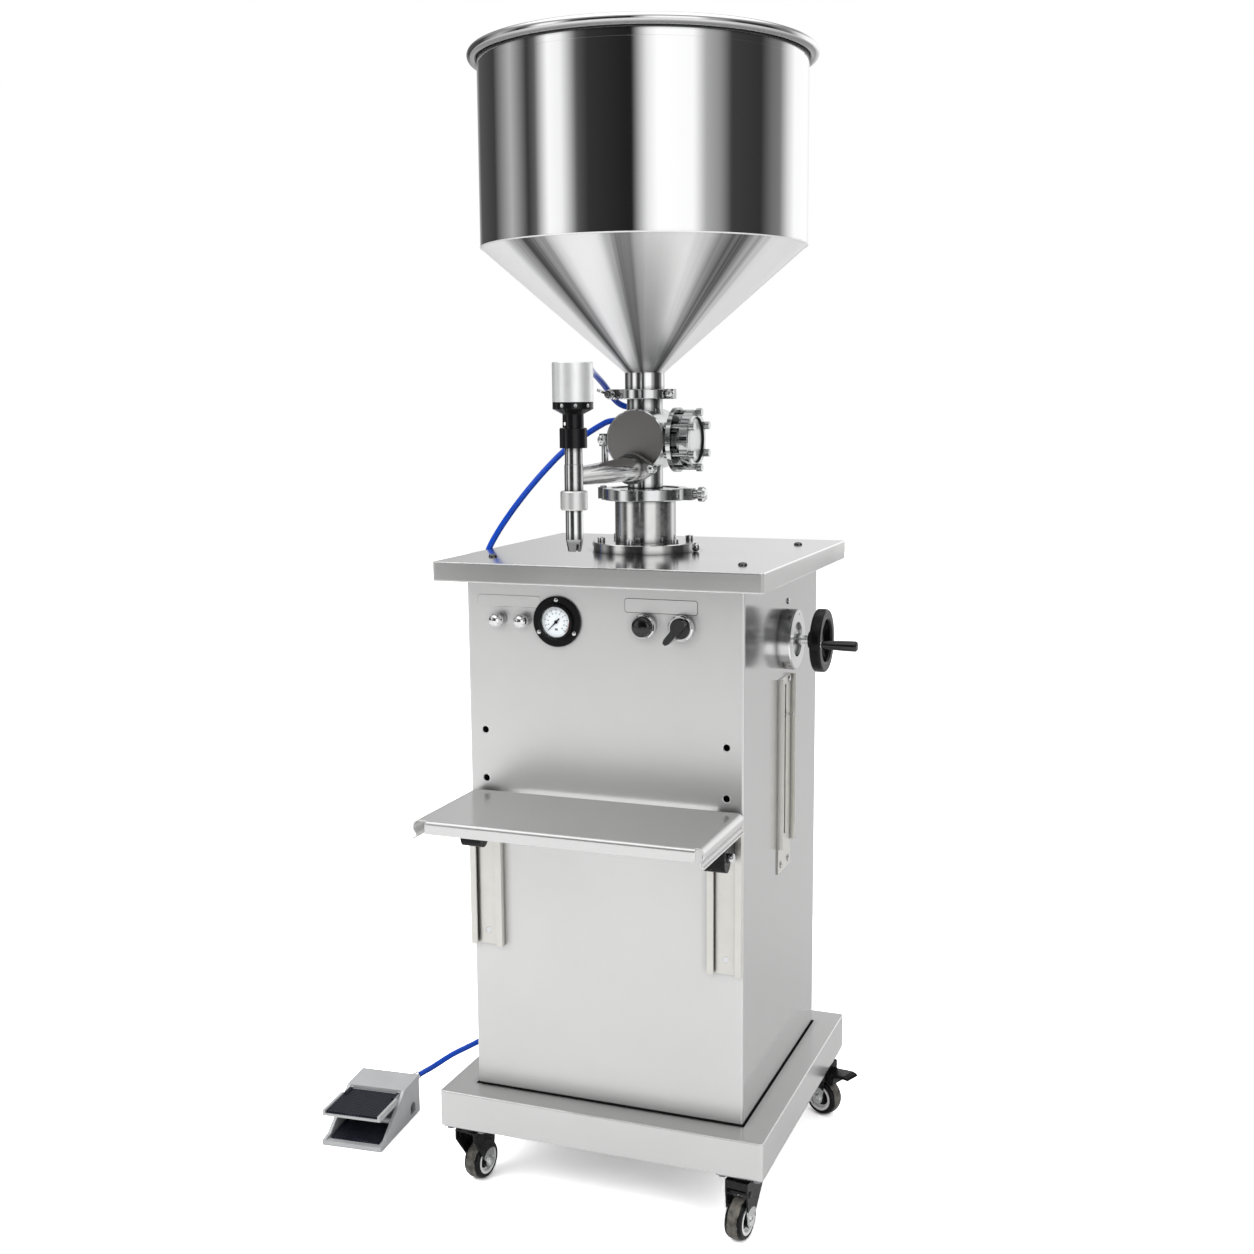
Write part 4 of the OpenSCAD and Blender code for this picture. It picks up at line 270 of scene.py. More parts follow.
def brushed(name, color, rough, grain, edge, bump=0.012, metal=1.0, rim_highlight=1.0):
    """Brushed sheet: fine lines in roughness and bump, and rounded rims with a painted highlight.

    The mask of the rims stays in the shader's rim.
    """
    s = Shader(name, color, 1.0, rough)
    lines_side = s.noise(s.stretch((3, 3, 900)), 1.0, 3.0, 0.6)
    lines_top = s.noise(s.stretch((5, 900, 5)), 1.0, 3.0, 0.6)
    up = s.math("ABSOLUTE", s.part("Z", s.node("ShaderNodeNewGeometry", "Normal")))
    lines = s.blend(s.ramp(up, 0.6, 0.8), lines_side, lines_top)
    s.tone(color, 6.0, 0.05)
    rounded = s.edges(edge)
    s.bump(lines, bump, 0.0002, rounded)
    flatness = s.vec("DOT_PRODUCT", rounded, s.node("ShaderNodeNewGeometry", "True Normal"),
                     "Value")
    s.rim = s.ramp(flatness, 0.99, 0.93, 0.0, rim_highlight)
    # painted highlight: the rounded rims are tinted towards white
    s.tint(s.rim, WHITE)
    grained = s.ramp(lines, 0.2, 0.8, rough - grain, rough + grain)
    s.set("Roughness", s.blend(s.rim, grained, 0.06))
    s.set("Metallic", s.blend(s.rim, metal, 1.0))
    # painted shade where surfaces stand close together
    s.crevice_shade(0.012, 0.45)
    return s


def panel_steel():
    """The cabinet's sheet; its right wall mirrors more sharply than its front and is painted
    darker as painted shade.
    """
    s = brushed("panel_steel", (0.83, 0.83, 0.825), 0.35, 0.02, 0.0022, metal=0.88, rim_highlight=0.9)
    wall_x = at(178.4, 0, 0).x
    wall = s.step(s.axis("X"), wall_x, 0.0004)
    s.set("Roughness", s.math("SUBTRACT", s.now("Roughness"), s.times(wall, 0.19)))
    # painted shade: the right wall's colour is darkened
    s.tint(wall, (0.64, 0.64, 0.637))
    return s.mat


def table_steel():
    """The table's sheet; its turned-down skirt is painted darker than its top, in slow patches of
    painted shade.
    """
    s = brushed("table_steel", (0.76, 0.76, 0.757), 0.15, 0.02, 0.003)
    skirt_high = 0.8165
    skirt = s.below(s.axis("Z"), skirt_high)
    # painted shade: slow patches darken the skirt below the rims
    patches = s.ramp(s.noise(s.stretch((5, 5, 0.5)), 1.0, 2.0), 0.3, 0.7)
    shade = s.mix(patches, (0.48, 0.48, 0.475), (0.70, 0.70, 0.695))
    s.tint(s.times(skirt, s.flip(s.rim)), shade)
    return s.mat


def base_steel():
    """The base pan's sheet, with the black strip on top of it; the black reaches a little past
    the strip as painted shade of the gap at the cabinet's foot.
    """
    s = brushed("base_steel", (0.80, 0.80, 0.797), 0.25, 0.03, 0.003, bump=0.015, metal=0.92)
    pan_top, strip_wall, half_x, half_y = 0.1345, 0.1351, 0.1812, 0.1737
    z = s.axis("Z")
    # the black strip itself, and painted shade on the pan's top just round it
    strip_and_gap_shade = s.times(s.above(z, pan_top), s.near(s.axis("X"), CENTRE.x, half_x),
                            s.near(s.axis("Y"), CENTRE.y, half_y))
    strip = s.math("MAXIMUM", s.step(z, strip_wall, 0.00005), strip_and_gap_shade)
    s.set("Metallic", s.times(s.now("Metallic"), s.flip(strip)))
    s.set("Specular IOR Level", s.times(0.5, s.flip(strip)))
    s.tint(strip, grey(0.006))
    return s.mat


shelf_steel = brushed("shelf_steel", (0.76, 0.76, 0.757), 0.2, 0.02, 0.0018, metal=0.84, rim_highlight=0.9)
dress(panel_steel(), "cabinet", "rear_panel")
dress(table_steel(), "tabletop")
dress(base_steel(), "base_pan")
dress(shelf_steel.mat, "shelf")

# ---------------------------------------------------------------- hopper

# Painted dark reflections down the cone: degrees round the axis, half width and depth
REFLECTION_STREAKS = ((-158, 15, 0.95), (167.5, 9, 0.85), (126.7, 18, 0.92), (70, 13, 0.5), (31, 12, 0.6),
           (-24, 14, 0.8), (-66, 12, 0.6), (-101, 10, 0.4))


def hopper_steel():
    """Mirror shell and neck, and satin cone brushed round the axis; the cone is painted with dark
    and white streaks as painted reflections, and the rolled rim is painted dark below and bright
    above as painted shade and highlight.
    """
    cone_low, shell_low, waves_end = 1.0460, 1.2020, 1.415
    bead_low, bead_dark, bead_bright = 1.4235, 1.4275, 1.4300
    s = Shader("hopper_steel", (0.86, 0.865, 0.87), 1.0, 0.05)
    away = s.away(at_head(0, 0, 0))
    z = s.axis("Z")
    in_cone = s.times(s.step(z, cone_low), s.flip(s.step(z, shell_low)))
    around = s.math("ARCTAN2", s.part("X", away), s.part("Y", away))
    # painted reflections: fine and wide dark streaks at fixed angles round the axis; the rest of
    # the cone is taken towards white
    fine = s.noise(s.line(X=around), 14.0, 4.0, 0.6)
    dark = s.ramp(fine, 0.35, 0.65, -0.12, 0.12)
    for degrees, half_width, depth in REFLECTION_STREAKS:
        off = s.math("COSINE", s.math("SUBTRACT", around, math.radians(degrees)))
        hump = s.ramp(off, math.cos(math.radians(half_width)), 1.0)
        dark = s.plus(dark, s.times(hump, depth))
    dark = s.ramp(dark, 0.0, 1.0)
    steel = s.mix(s.times(in_cone, dark), (0.88, 0.88, 0.885), grey(0.05))
    steel = s.mix(s.times(in_cone, s.flip(dark)), steel, WHITE)
    # painted shade and highlight: the rolled rim is dark below and bright above
    bead_shade_and_highlight = s.mix(s.ramp(z, bead_dark, bead_bright), grey(0.30), grey(0.86))
    s.set("Base Color", s.mix(s.step(z, bead_low), steel, bead_shade_and_highlight))
    neck = s.flip(s.step(z, cone_low - 0.0004))
    # painted reflection: a dark streak down the neck
    s.painted_dark_streak(s.times(neck, 0.7))
    # painted shade where surfaces stand close together
    s.crevice_shade(0.006, 0.7)
    s.set("Roughness", s.blend(in_cone, 0.05, 0.32))
    waves = s.times(s.noise(s.stretch((1, 1, 0.3)), 15.0, 1.0), s.flip(s.step(z, waves_end)))
    rings = s.noise(s.line(Z=z), 1100.0)
    s.bump(s.plus(s.times(waves, 1.6), s.times(in_cone, rings, 0.3)), 0.1, 0.0006)
    s.set("Anisotropic", 0.55)
    s.set("Tangent", s.node("ShaderNodeTangent", props={"direction_type": "RADIAL", "axis": "Z"}))
    return s.mat


dress(hopper_steel(), "hopper")

# ---------------------------------------------------------------- polished and turned metal


def polished(name, color, rough, spread=0.03, waves=0.05):
    """Polished metal with faint waves and painted shade in its crevices."""
    s = Shader(name, color, 1.0, rough)
    s.tone(color, 60.0, spread)
    soft = s.noise(s.point, 140.0)
    s.set("Roughness", s.ramp(soft, 0.3, 0.7, max(rough - 0.02, 0.01), rough + 0.03))
    s.bump(soft, waves, normal=s.edges(0.0004))
    # painted shade where surfaces stand close together
    s.crevice_shade(0.007, 0.85)
    return s


def screw_steel():
    """Polished screws; the small heads on the table are tinted darker."""
    s = polished("screw_steel", (0.78, 0.785, 0.79), 0.07)
    table_top, heads_high = 0.8185, 0.8225
    z = s.axis("Z")
    s.tint(s.times(s.above(z, table_top), s.below(z, heads_high)), grey(0.16))
    return s.mat


def drum_steel():
    """The valve's drum: a matte grey front face in a polished body; the face is painted lighter
    at the bottom than at the top as painted shading.
    """
    s = Shader("drum_steel", (0.76, 0.765, 0.77), 1.0, 0.12)
    face_y, face_r, fade_low, fade_high = at_head(0, -37, 0).y, 0.0374, 0.925, 1.0
    face = s.times(s.near(s.axis("Y"), face_y, 0.0004),
                   s.below(s.reach(at_head(0, 0, DRUM_Z), (1, 0, 1)), face_r))
    s.set("Roughness", s.blend(face, 0.12, 0.46))
    # painted shading: the face is lighter at its bottom and darker at its top
    face_shading = s.ramp(s.axis("Z"), fade_low, fade_high)
    s.tint(face, s.mix(face_shading, (0.34, 0.325, 0.31), (0.25, 0.24, 0.235)))
    s.bump(s.times(s.noise(s.point, 700.0), face), 0.12, normal=s.edges(0.0005))
    # painted reflection: a dark streak down the drum
    s.painted_dark_streak(0.7)
    # painted shade where surfaces stand close together
    s.crevice_shade(0.010, 0.8)
    return s.mat


def cap_steel():
    """The side cap: a satin disc with a dark line round it, in a polished rim."""
    s = Shader("cap_steel", (0.84, 0.845, 0.85), 1.0, 0.08)
    radius, disc_r = s.reach(at_head(0, 0, DRUM_Z), (0, 1, 1)), 0.0285
    disc = s.below(radius, disc_r)
    s.set("Roughness", s.blend(disc, 0.07, 0.33))
    s.set("Base Color", s.mix(disc, (0.60, 0.605, 0.61), (0.72, 0.725, 0.73)))
    s.tint(s.near(radius, disc_r, 0.0010), grey(0.03))
    s.bump(s.noise(s.point, 300.0), 0.04, normal=s.edges(0.0005))
    # painted shade where surfaces stand close together
    s.crevice_shade(0.008, 0.9)
    return s.mat


def nozzle_steel():
    """Polished slotted tip, painted dark at its end as painted shade, under a matte union nut."""
    s = Shader("nozzle_steel", (0.86, 0.865, 0.87), 1.0, 0.07)
    nut_low, nut_high, nut_inner, tip_low, dark_high = 0.8877, 0.9103, 0.0106, 0.850, 0.862
    z = s.axis("Z")
    nut = s.times(s.step(z, nut_low), s.flip(s.step(z, nut_high)),
                  s.step(s.reach(at_head(0, NOZZLE_Y, 0), (1, 1, 0)), nut_inner))
    s.set("Roughness", s.blend(nut, 0.07, 0.40))
    # painted shade: the tip darkens towards its end
    tip = s.mix(s.ramp(z, tip_low, dark_high), grey(0.24), (0.84, 0.845, 0.85))
    s.set("Base Color", s.mix(nut, tip, (0.90, 0.90, 0.895)))
    s.bump(s.times(s.noise(s.point, 500.0), nut), 0.1, normal=s.edges(0.0005))
    # painted shade where surfaces stand close together
    s.crevice_shade(0.004, 0.8)
    return s.mat


def turned_aluminium():
    """Bright aluminium with faint turning lines."""
    s = Shader("turned_aluminium", (0.90, 0.905, 0.91), 1.0, 0.16)
    lines = s.noise(s.stretch((4, 4, 1600)))
    s.set("Roughness", s.ramp(lines, 0.2, 0.8, 0.13, 0.22))
    s.tone((0.90, 0.905, 0.91), 30.0, 0.03)
    s.bump(lines, 0.05, 0.0002, s.edges(0.0007))
    return s.mat


def housing_aluminium():
    """The handwheel's bearing housing, turned in fine rings; its round side is painted by its
    facing as painted shade and highlight: dark above, a bright band, grey below.
    """
    s = Shader("housing_aluminium", (0.84, 0.845, 0.85), 1.0, 0.24)
    rings = s.noise(s.line(X=s.reach(at(0, WHEEL_Y, WHEEL_Z), (0, 1, 1))), 2600.0)
    normal = s.node("ShaderNodeTexCoord", "Normal")
    out, up = s.part("X", normal), s.part("Z", normal)
    # painted shade and highlight: the side's colour follows which way it faces
    side = s.mix(s.ramp(up, -0.12, 0.1), WHITE, (0.30, 0.30, 0.305))
    side = s.mix(s.ramp(up, -0.45, -0.35), grey(0.5), side)
    s.set("Base Color", s.mix(s.step(out, 0.9, 0.05), side, grey(0.84)))
    # painted shade where surfaces stand close together
    s.crevice_shade(0.007, 0.85)
    s.set("Roughness", s.ramp(rings, 0.2, 0.8, 0.16, 0.26))
    s.bump(rings, 0.06, 0.0002, s.edges(0.0008))
    return s.mat


chrome = polished("polished_steel", (0.78, 0.785, 0.79), 0.07)
turned = polished("turned_steel", (0.72, 0.72, 0.715), 0.11)
# painted reflection: a dark streak down the turned parts
turned.painted_dark_streak(0.8)
clamps = polished("clamp_steel", (0.74, 0.745, 0.75), 0.10)
# painted reflection: a dark streak down the clamps
clamps.painted_dark_streak(0.5)
plate = polished("plate_chrome", (0.90, 0.90, 0.91), 0.045, 0.02, 0.02)
anodised = polished("anodised_aluminium", (0.94, 0.945, 0.95), 0.36, 0.02, 0.02)
anodised.set("Metallic", 0.7)
cream = polished("cream_metal", (0.82, 0.805, 0.76), 0.30, 0.04, 0.02)
cream.set("Metallic", 0.8)
dress(chrome.mat, "hopper_wing_nut", "clamp_knob", "nozzle_stem", "piston_rod", "lead_screw")
dress(turned.mat, "metering_cylinder", "outlet_pipe", "valve_rotor")
dress(clamps.mat, "pipe_clamps")
dress(plate.mat, "control_bezels", "speed_knob_left", "speed_knob_right", "shelf_screw_left",
      "shelf_screw_right", "air_fittings")
dress(anodised.mat, "nozzle_air_cylinder")
dress(cream.mat, "shelf_rails", "scale_channel")
dress(screw_steel(), "fixings")
dress(drum_steel(), "valve_body")
dress(cap_steel(), "cleanout_cap")
dress(nozzle_steel(), "nozzle_tip")
dress(turned_aluminium(), "valve_actuator", "drive_cylinder", "stroke_block")
dress(housing_aluminium(), "bearing_blocks")

# ---------------------------------------------------------------- paint, plastic and glass


def painted(name, color, rough, grain=350.0, bump=0.1, spread=0.06, level=0.5):
    """Paint or plastic with a fine grain; the level is that of its mirror reflection."""
    s = Shader(name, color, 0.0, rough, Specular_IOR_Level=level)
    s.tone(color, 25.0, spread)
    spots = s.noise(s.point, grain, 3.0)
    s.set("Roughness", s.ramp(spots, 0.3, 0.7, rough - 0.04, rough + 0.06))
    s.bump(spots, bump, normal=s.edges(0.0006))
    return s


def handwheel_black():
    """Black plastic on a chrome shaft, with a chrome pin for the grip."""
    s = painted("handwheel_black", (0.005, 0.005, 0.0055), 0.2, 120.0, 0.03, level=0.2)
    shaft_r, hub_x, rim_x = 0.0076, at(211.6, 0, 0).x, at(234.8, 0, 0).x
    x = s.axis("X")
    shaft = s.times(s.below(s.reach(at(0, WHEEL_Y, WHEEL_Z), (0, 1, 1)), shaft_r),
                    s.below(x, hub_x))
    metal = s.math("MAXIMUM", shaft, s.above(x, rim_x))
    s.set("Metallic", metal)
    s.tint(metal, (0.82, 0.825, 0.83))
    return s.mat


def adapter_black():
    """Black anodised aluminium, bare inside the five vents drilled in its cone."""
    s = painted("black_anodised", (0.006, 0.006, 0.007), 0.15, 400.0, 0.03, level=0.3)
    vent_z, vent_out, vent_r, vent_lean = 1001.3, 13.2, 0.00186, math.radians(60)
    bare = 0.0
    for degrees in range(-100, 81, 40):
        x, y = math.cos(math.radians(degrees)), math.sin(math.radians(degrees))
        start = at_head(vent_out * x, NOZZLE_Y + vent_out * y, vent_z)
        way = (x * math.sin(vent_lean), y * math.sin(vent_lean), math.cos(vent_lean))
        off = s.length(s.vec("CROSS_PRODUCT", s.away(start), way))
        bare = s.math("MAXIMUM", bare, s.below(off, vent_r))
    s.tint(bare, grey(0.9))
    return s.mat


def gauge_black():
    """Black gauge case with a pale blue dial."""
    s = Shader("gauge_black", (0.006, 0.006, 0.0065), 0.0, 0.2, Specular_IOR_Level=0.15)
    dial_r, dial_front, dial_rear = 0.0188, at(0, -176.2, 0).y, at(0, -172, 0).y
    y = s.axis("Y")
    dial = s.times(s.below(s.reach(at(GAUGE_X, 0, GAUGE_Z), (1, 0, 1)), dial_r),
                   s.above(y, dial_front), s.below(y, dial_rear))
    s.tint(dial, (0.92, 0.97, 1.0))
    s.bump(s.noise(s.point, 900.0), 0.04, 0.0002, s.edges(0.0005))
    return s.mat


def gauge_window():
    """Clear glass over the dial, faint to the camera."""
    s = Shader("gauge_window", (0.97, 0.985, 1.0), 0.0, 0.02, Transmission_Weight=1.0, IOR=1.45,
               Alpha=0.1)
    s.bump(s.noise(s.point, 40.0), 0.01, 0.0005)
    return s.mat


def casting(name, pad_half, front, rear, low, high):
    """Grey casting with a dimpled blue-black rubber pad, by place in the foot valve's frame."""
    s = Shader(name, (0.56, 0.57, 0.58), 0.35, 0.42)
    s.tone((0.60, 0.61, 0.62), 30.0, 0.08)
    away = s.away(at(FOOT_X, FOOT_Y, 0))
    cos, sin = math.cos(FOOT_TURN), math.sin(FOOT_TURN)
    across = s.vec("DOT_PRODUCT", away, (cos, sin, 0), "Value")
    along = s.vec("DOT_PRODUCT", away, (-sin, cos, 0), "Value")
    z = s.axis("Z")
    pad = s.times(s.near(across, 0.0, pad_half), s.above(along, front), s.below(along, rear),
                  s.above(z, low), s.below(z, high))
    cells = s.node("ShaderNodeTexVoronoi", "Distance", {"feature": "F1"},
                   Vector=s.stretch((1, 1, 0)), Scale=230.0, Randomness=0.15)
    dots = s.ramp(cells, 0.2, 0.34, 1.0, 0.0)
    s.tint(pad, s.mix(dots, (0.006, 0.007, 0.013), (0.035, 0.038, 0.055)))
    s.set("Specular IOR Level", s.blend(pad, 0.5, 0.15))
    s.set("Metallic", s.times(s.flip(pad), 0.35))
    s.set("Roughness", s.blend(pad, 0.42, 0.34))
    grain = s.noise(s.point, 900.0, 3.0)
    s.bump(s.plus(s.times(grain, 0.3), s.times(pad, dots)), 0.5, 0.0006, s.edges(0.0012))
    return s.mat


def caster_rubber(number, hub, trail):
    """A caster wheel: white hub, black tyre and a grey-brown band round the tread."""
    black = (0.006, 0.006, 0.007)
    s = Shader(f"caster_rubber_{number}", black, 0.0, 0.16, Specular_IOR_Level=0.22)
    hub_inner, hub_outer, tread_r = 0.0122, 0.0186, 0.0245
    away = s.away(hub)
    side = s.vec("DOT_PRODUCT", away, (-math.sin(trail), math.cos(trail), 0), "Value")
    reach = s.length(away)
    radius = s.math("SQRT", s.math("SUBTRACT", s.times(reach, reach), s.times(side, side)))
    wobble = s.noise(s.point, 120.0, 4.0)
    band = s.times(s.near(side, 0.0, s.ramp(wobble, 0.3, 0.7, 0.0058, 0.0078)),
                   s.above(radius, tread_r))
    s.tint(band, s.mix(s.ramp(wobble, 0.35, 0.65), (0.075, 0.07, 0.062), (0.17, 0.16, 0.14)))
    s.tint(s.times(s.below(radius, hub_outer), s.above(radius, hub_inner)), grey(0.9))
    s.bump(wobble, 0.05, normal=s.edges(0.0005))
    return s.mat


def fork_enamel(number, hub):
    """Black enamel forks with the bright heads of their axle bolts."""
    s = painted(f"fork_enamel_{number}", (0.008, 0.008, 0.009), 0.24, 180.0, 0.05, level=0.35)
    bolts_near, bolts_far = 0.0153, 0.0225
    reach = s.reach(hub)
    heads = s.times(s.below(reach, bolts_far), s.above(reach, bolts_near))
    s.set("Metallic", heads)
    s.tint(heads, (0.85, 0.855, 0.86))
    return s.mat


black_enamel = painted("black_enamel", (0.008, 0.008, 0.009), 0.24, 180.0, 0.05, level=0.2)
black_gloss = painted("black_gloss", (0.004, 0.004, 0.0045), 0.09, 120.0, 0.02, level=0.7)
dress(black_enamel.mat, "shelf_brackets", "brake_pedal_3", "brake_pedal_4")
dress(black_gloss.mat, "handwheel_grip", "stop_button", "selector_lever", "gauge_needle")
dress(handwheel_black(), "handwheel")
dress(adapter_black(), "nozzle_adapter")
dress(painted("zinc_plate", (0.30, 0.30, 0.32), 0.35, 120.0, 0.08, 0.12).mat, "caster_plates")
dress(painted("frame_paint", (0.42, 0.44, 0.45), 0.45).mat, "drive_frame")
dress(painted("piston_plastic", (0.86, 0.86, 0.84), 0.4).mat, "metering_piston")
dress(gauge_black(), "gauge_case")
dress(gauge_window(), "gauge_glass")
dress(casting("foot_casting", pad_half=0.0362, front=-0.057, rear=0.009, low=0.0053,
              high=0.0135), "foot_valve_body")
dress(casting("pedal_casting", pad_half=0.0384, front=-0.0625, rear=0.0115, low=0.0452,
              high=0.06), "foot_pedal")

CASTER_TRAILS = (82, -98, -23, 100)  # degrees
for number, trail in enumerate(CASTER_TRAILS, 1):
    low, high = (Vector(c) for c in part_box(f"caster_wheel_{number}"))
    hub = (low + high) / 2
    dress(caster_rubber(number, hub, math.radians(trail)), f"caster_wheel_{number}")
    dress(fork_enamel(number, hub), f"caster_fork_{number}")

# ---------------------------------------------------------------- camera


def make_camera():
    """The photograph's own camera, fitted to the machine's corners."""
    sensor_mm, picture_px, focal_px = 36, 1254, 1556.1
    elevation, roll = math.radians(8.65), math.radians(-0.44)
    data = bpy.data.cameras.new("camera")
    data.sensor_width = sensor_mm
    data.lens = focal_px / picture_px * sensor_mm
    data.clip_start, data.clip_end = 0.05, 60
    camera = bpy.data.objects.new("camera", data)
    bpy.context.scene.collection.objects.link(camera)
    back = Vector((math.sin(CAMERA_AZIMUTH) * math.cos(elevation),
                   -math.cos(CAMERA_AZIMUTH) * math.cos(elevation), math.sin(elevation)))
    right = (-back).cross(Vector((0, 0, 1))).normalized()
    up = right.cross(-back)
    turned_right = math.cos(roll) * right + math.sin(roll) * up
    turned_up = -math.sin(roll) * right + math.cos(roll) * up
    matrix = Matrix((turned_right, turned_up, back)).transposed().to_4x4()
    matrix.translation = at(691.4, -1887.0, 1024.0)
    camera.matrix_world = matrix
    bpy.context.scene.camera = camera


make_camera()

# ---------------------------------------------------------------- hoses

NOZZLE_ROUTE = [(-8, -197, 1044), (-8, -182, 1044), (-26, -132, 1048), (-48, -82, 1051),
                (-62, -36, 1046), (-66, 8, 1032), (-63, 42, 1011), (-55, 57, 1003),
                (-45, 67, 1003)]
VALVE_ROUTE = [(-60, 70, 984), (-75, 70, 984), (-92, 62, 978), (-135, 32, 943), (-180, -9, 881),
               (-216, -31, 818), (-220, -38, 775), (-206, -42, 732), (-192, -42, 706),
               (-192, -42, 690)]
FOOT_ROUTE = [(-356, -9, 48), (-339, 2, 58), (-314, 15, 75), (-282, 31, 92), (-250, 46, 112),
              (-228, 62, 140), (-213, 80, 165), (-199, 80, 165)]


def smooth_route(route):
    """Points on the Catmull-Rom curve that the hose's solid follows too."""
    places = [at(*p) for p in route]
    ends = [places[0] * 2 - places[1], *places, places[-1] * 2 - places[-2]]
    dense, steps = [], 3
    for k in range(1, len(ends) - 2):
        a, b, c, d = ends[k - 1:k + 3]
        for j in range(steps):
            t = j / steps
            dense.append(0.5 * (2 * b + (c - a) * t + (2 * a - 5 * b + 4 * c - d) * t * t
                                + (3 * b - a - 3 * c + d) * t ** 3))
    return [*dense, places[-1]]


def make_hose(name, node, route, material):
    """A free hose along its route, as one open spline."""
    dense = smooth_route(route)
    curve = bpy.data.curves.new(name, "CURVE")
    curve.dimensions = "3D"
    curve.bevel_depth = 0.004
    curve.bevel_resolution = 8
    curve.resolution_u = 6
    spline = curve.splines.new("BEZIER")
    spline.bezier_points.add(len(dense) - 1)
    for knot, place in zip(spline.bezier_points, dense):
        knot.co = place
        knot.handle_left_type = knot.handle_right_type = "AUTO"
    hose = bpy.data.objects.new(name, curve)
    bpy.context.scene.collection.objects.link(hose)
    hose.data.materials.append(material)
    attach(hose, ROOT)
    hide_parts(node)
    return hose


def hose_blue():
    """Glossy blue tube."""
    s = Shader("hose_blue", (0.0, 0.06, 0.5), 0.0, 0.14, Specular_IOR_Level=0.4)
    s.tone((0.0, 0.065, 0.54), 40.0, 0.2)
    s.bump(s.noise(s.point, 60.0), 0.02, 0.0002)
    return s.mat


blue = hose_blue()
nozzle_hose = make_hose("nozzle_air_hose", "nozzle_hose", NOZZLE_ROUTE, blue)
nozzle_hose.visible_glossy = False
make_hose("valve_air_hose", "valve_hose", VALVE_ROUTE, blue)
make_hose("foot_air_hose", "foot_hose", FOOT_ROUTE, blue)

# ---------------------------------------------------------------- studio

# Cards round the horizon: degrees to the right of the camera's back, and brightness
CARDS = ((-180, 0.75), (-155, 0.10), (-124, 0.05), (-103, 0.48), (-86, 0.04), (-79, 0.12),
         (-68, 1.1), (-58, 1.0), (-46, 0.10), (-38, 0.035), (-8, 0.014), (2, 0.9), (9, 1.15),
         (33, 1.1), (42, 0.45), (52, 0.30), (61, 0.05), (86, 0.035), (97, 0.17), (106, 0.22),
         (116, 0.75), (126, 1.1), (152, 1.1), (180, 0.75))


def make_world():
    """White for the camera, upright cards under a roof for gloss, even light for the rest."""
    world = bpy.data.worlds.new("studio")
    bpy.context.scene.world = world
    world.use_nodes = True
    tree = world.node_tree
    tree.nodes.clear()

    def node(kind, out=0, **inputs):
        return add_node(tree, kind, out, **inputs)

    def calc(operation, **inputs):
        return add_node(tree, "ShaderNodeMath", 0, {"operation": operation}, **inputs)

    way = node("ShaderNodeTexCoord", "Generated")
    x, y, z = (node("ShaderNodeSeparateXYZ", name, Vector=way) for name in "XYZ")
    azimuth = calc("ARCTAN2", i0=x, i1=calc("MULTIPLY", i0=y, i1=-1.0))
    from_back = calc("SUBTRACT", i0=azimuth, i1=CAMERA_AZIMUTH)
    wrapped = calc("WRAP", i0=from_back, i1=math.pi, i2=-math.pi)
    cards = tree.nodes.new("ShaderNodeValToRGB")
    feed(tree, cards.inputs[0], node("ShaderNodeMapRange", i0=wrapped, i1=-math.pi, i2=math.pi))
    elements = cards.color_ramp.elements
    while len(elements) > 1:
        elements.remove(elements[-1])
    for k, (degrees, level) in enumerate(CARDS):
        position = (degrees + 180) / 360
        element = elements[0] if k == 0 else elements.new(position)
        element.position = position
        element.color = (*grey(level), 1)
    over = node("ShaderNodeMapRange", i0=z, i1=0.3, i2=0.5)
    roof = node("ShaderNodeMapRange", i0=z, i1=0.62, i2=0.78, i3=0.3, i4=1.35)
    studio = node("ShaderNodeMixRGB", Fac=over, Color1=cards.outputs[0], Color2=roof)
    gloss = node("ShaderNodeBackground", Color=studio, Strength=1.0)
    even = node("ShaderNodeBackground", Color=(1, 1, 1, 1), Strength=0.62)
    white = node("ShaderNodeBackground", Color=(1, 1, 1, 1), Strength=1.0)
    rays = tree.nodes.new("ShaderNodeLightPath").outputs
    clear = calc("MAXIMUM", i0=rays["Is Camera Ray"], i1=rays["Is Transmission Ray"])
    hidden = node("ShaderNodeMixShader", i0=rays["Is Glossy Ray"], i1=even, i2=gloss)
    out = tree.nodes.new("ShaderNodeOutputWorld")
    feed(tree, out.inputs["Surface"], node("ShaderNodeMixShader", i0=clear, i1=hidden, i2=white))


def area_lamp(name, place, size, power):
    """A square soft lamp, turned to the machine's middle and left out of its reflections."""
    data = bpy.data.lights.new(name, "AREA")
    data.shape = "RECTANGLE"
    data.size = data.size_y = size
    data.energy = power
    lamp = bpy.data.objects.new(name, data)
    lamp.location = place
    lamp.rotation_euler = (at(0, 0, 700) - place).to_track_quat("-Z", "Y").to_euler()
    lamp.visible_glossy = False
    bpy.context.scene.collection.objects.link(lamp)


make_world()
area_lamp("key", at(-1500, -2200, 2900), 2.0, 60)
area_lamp("fill", at(2400, -1500, 1900), 2.0, 28)
area_lamp("top", at(0, 300, 3400), 2.5, 26)

# ---------------------------------------------------------------- added pieces


def mesh_piece(name, bm, material, body=ROOT, smooth=True):
    """An object from a bmesh, on its body and in its slot."""
    mesh = bpy.data.meshes.new(name)
    bm.normal_update()
    bm.to_mesh(mesh)
    bm.free()
    mesh.materials.append(material)
    obj = bpy.data.objects.new(name, mesh)
    bpy.context.scene.collection.objects.link(obj)
    for polygon in mesh.polygons:
        polygon.use_smooth = smooth
    if body:
        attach(obj, body)
    return obj


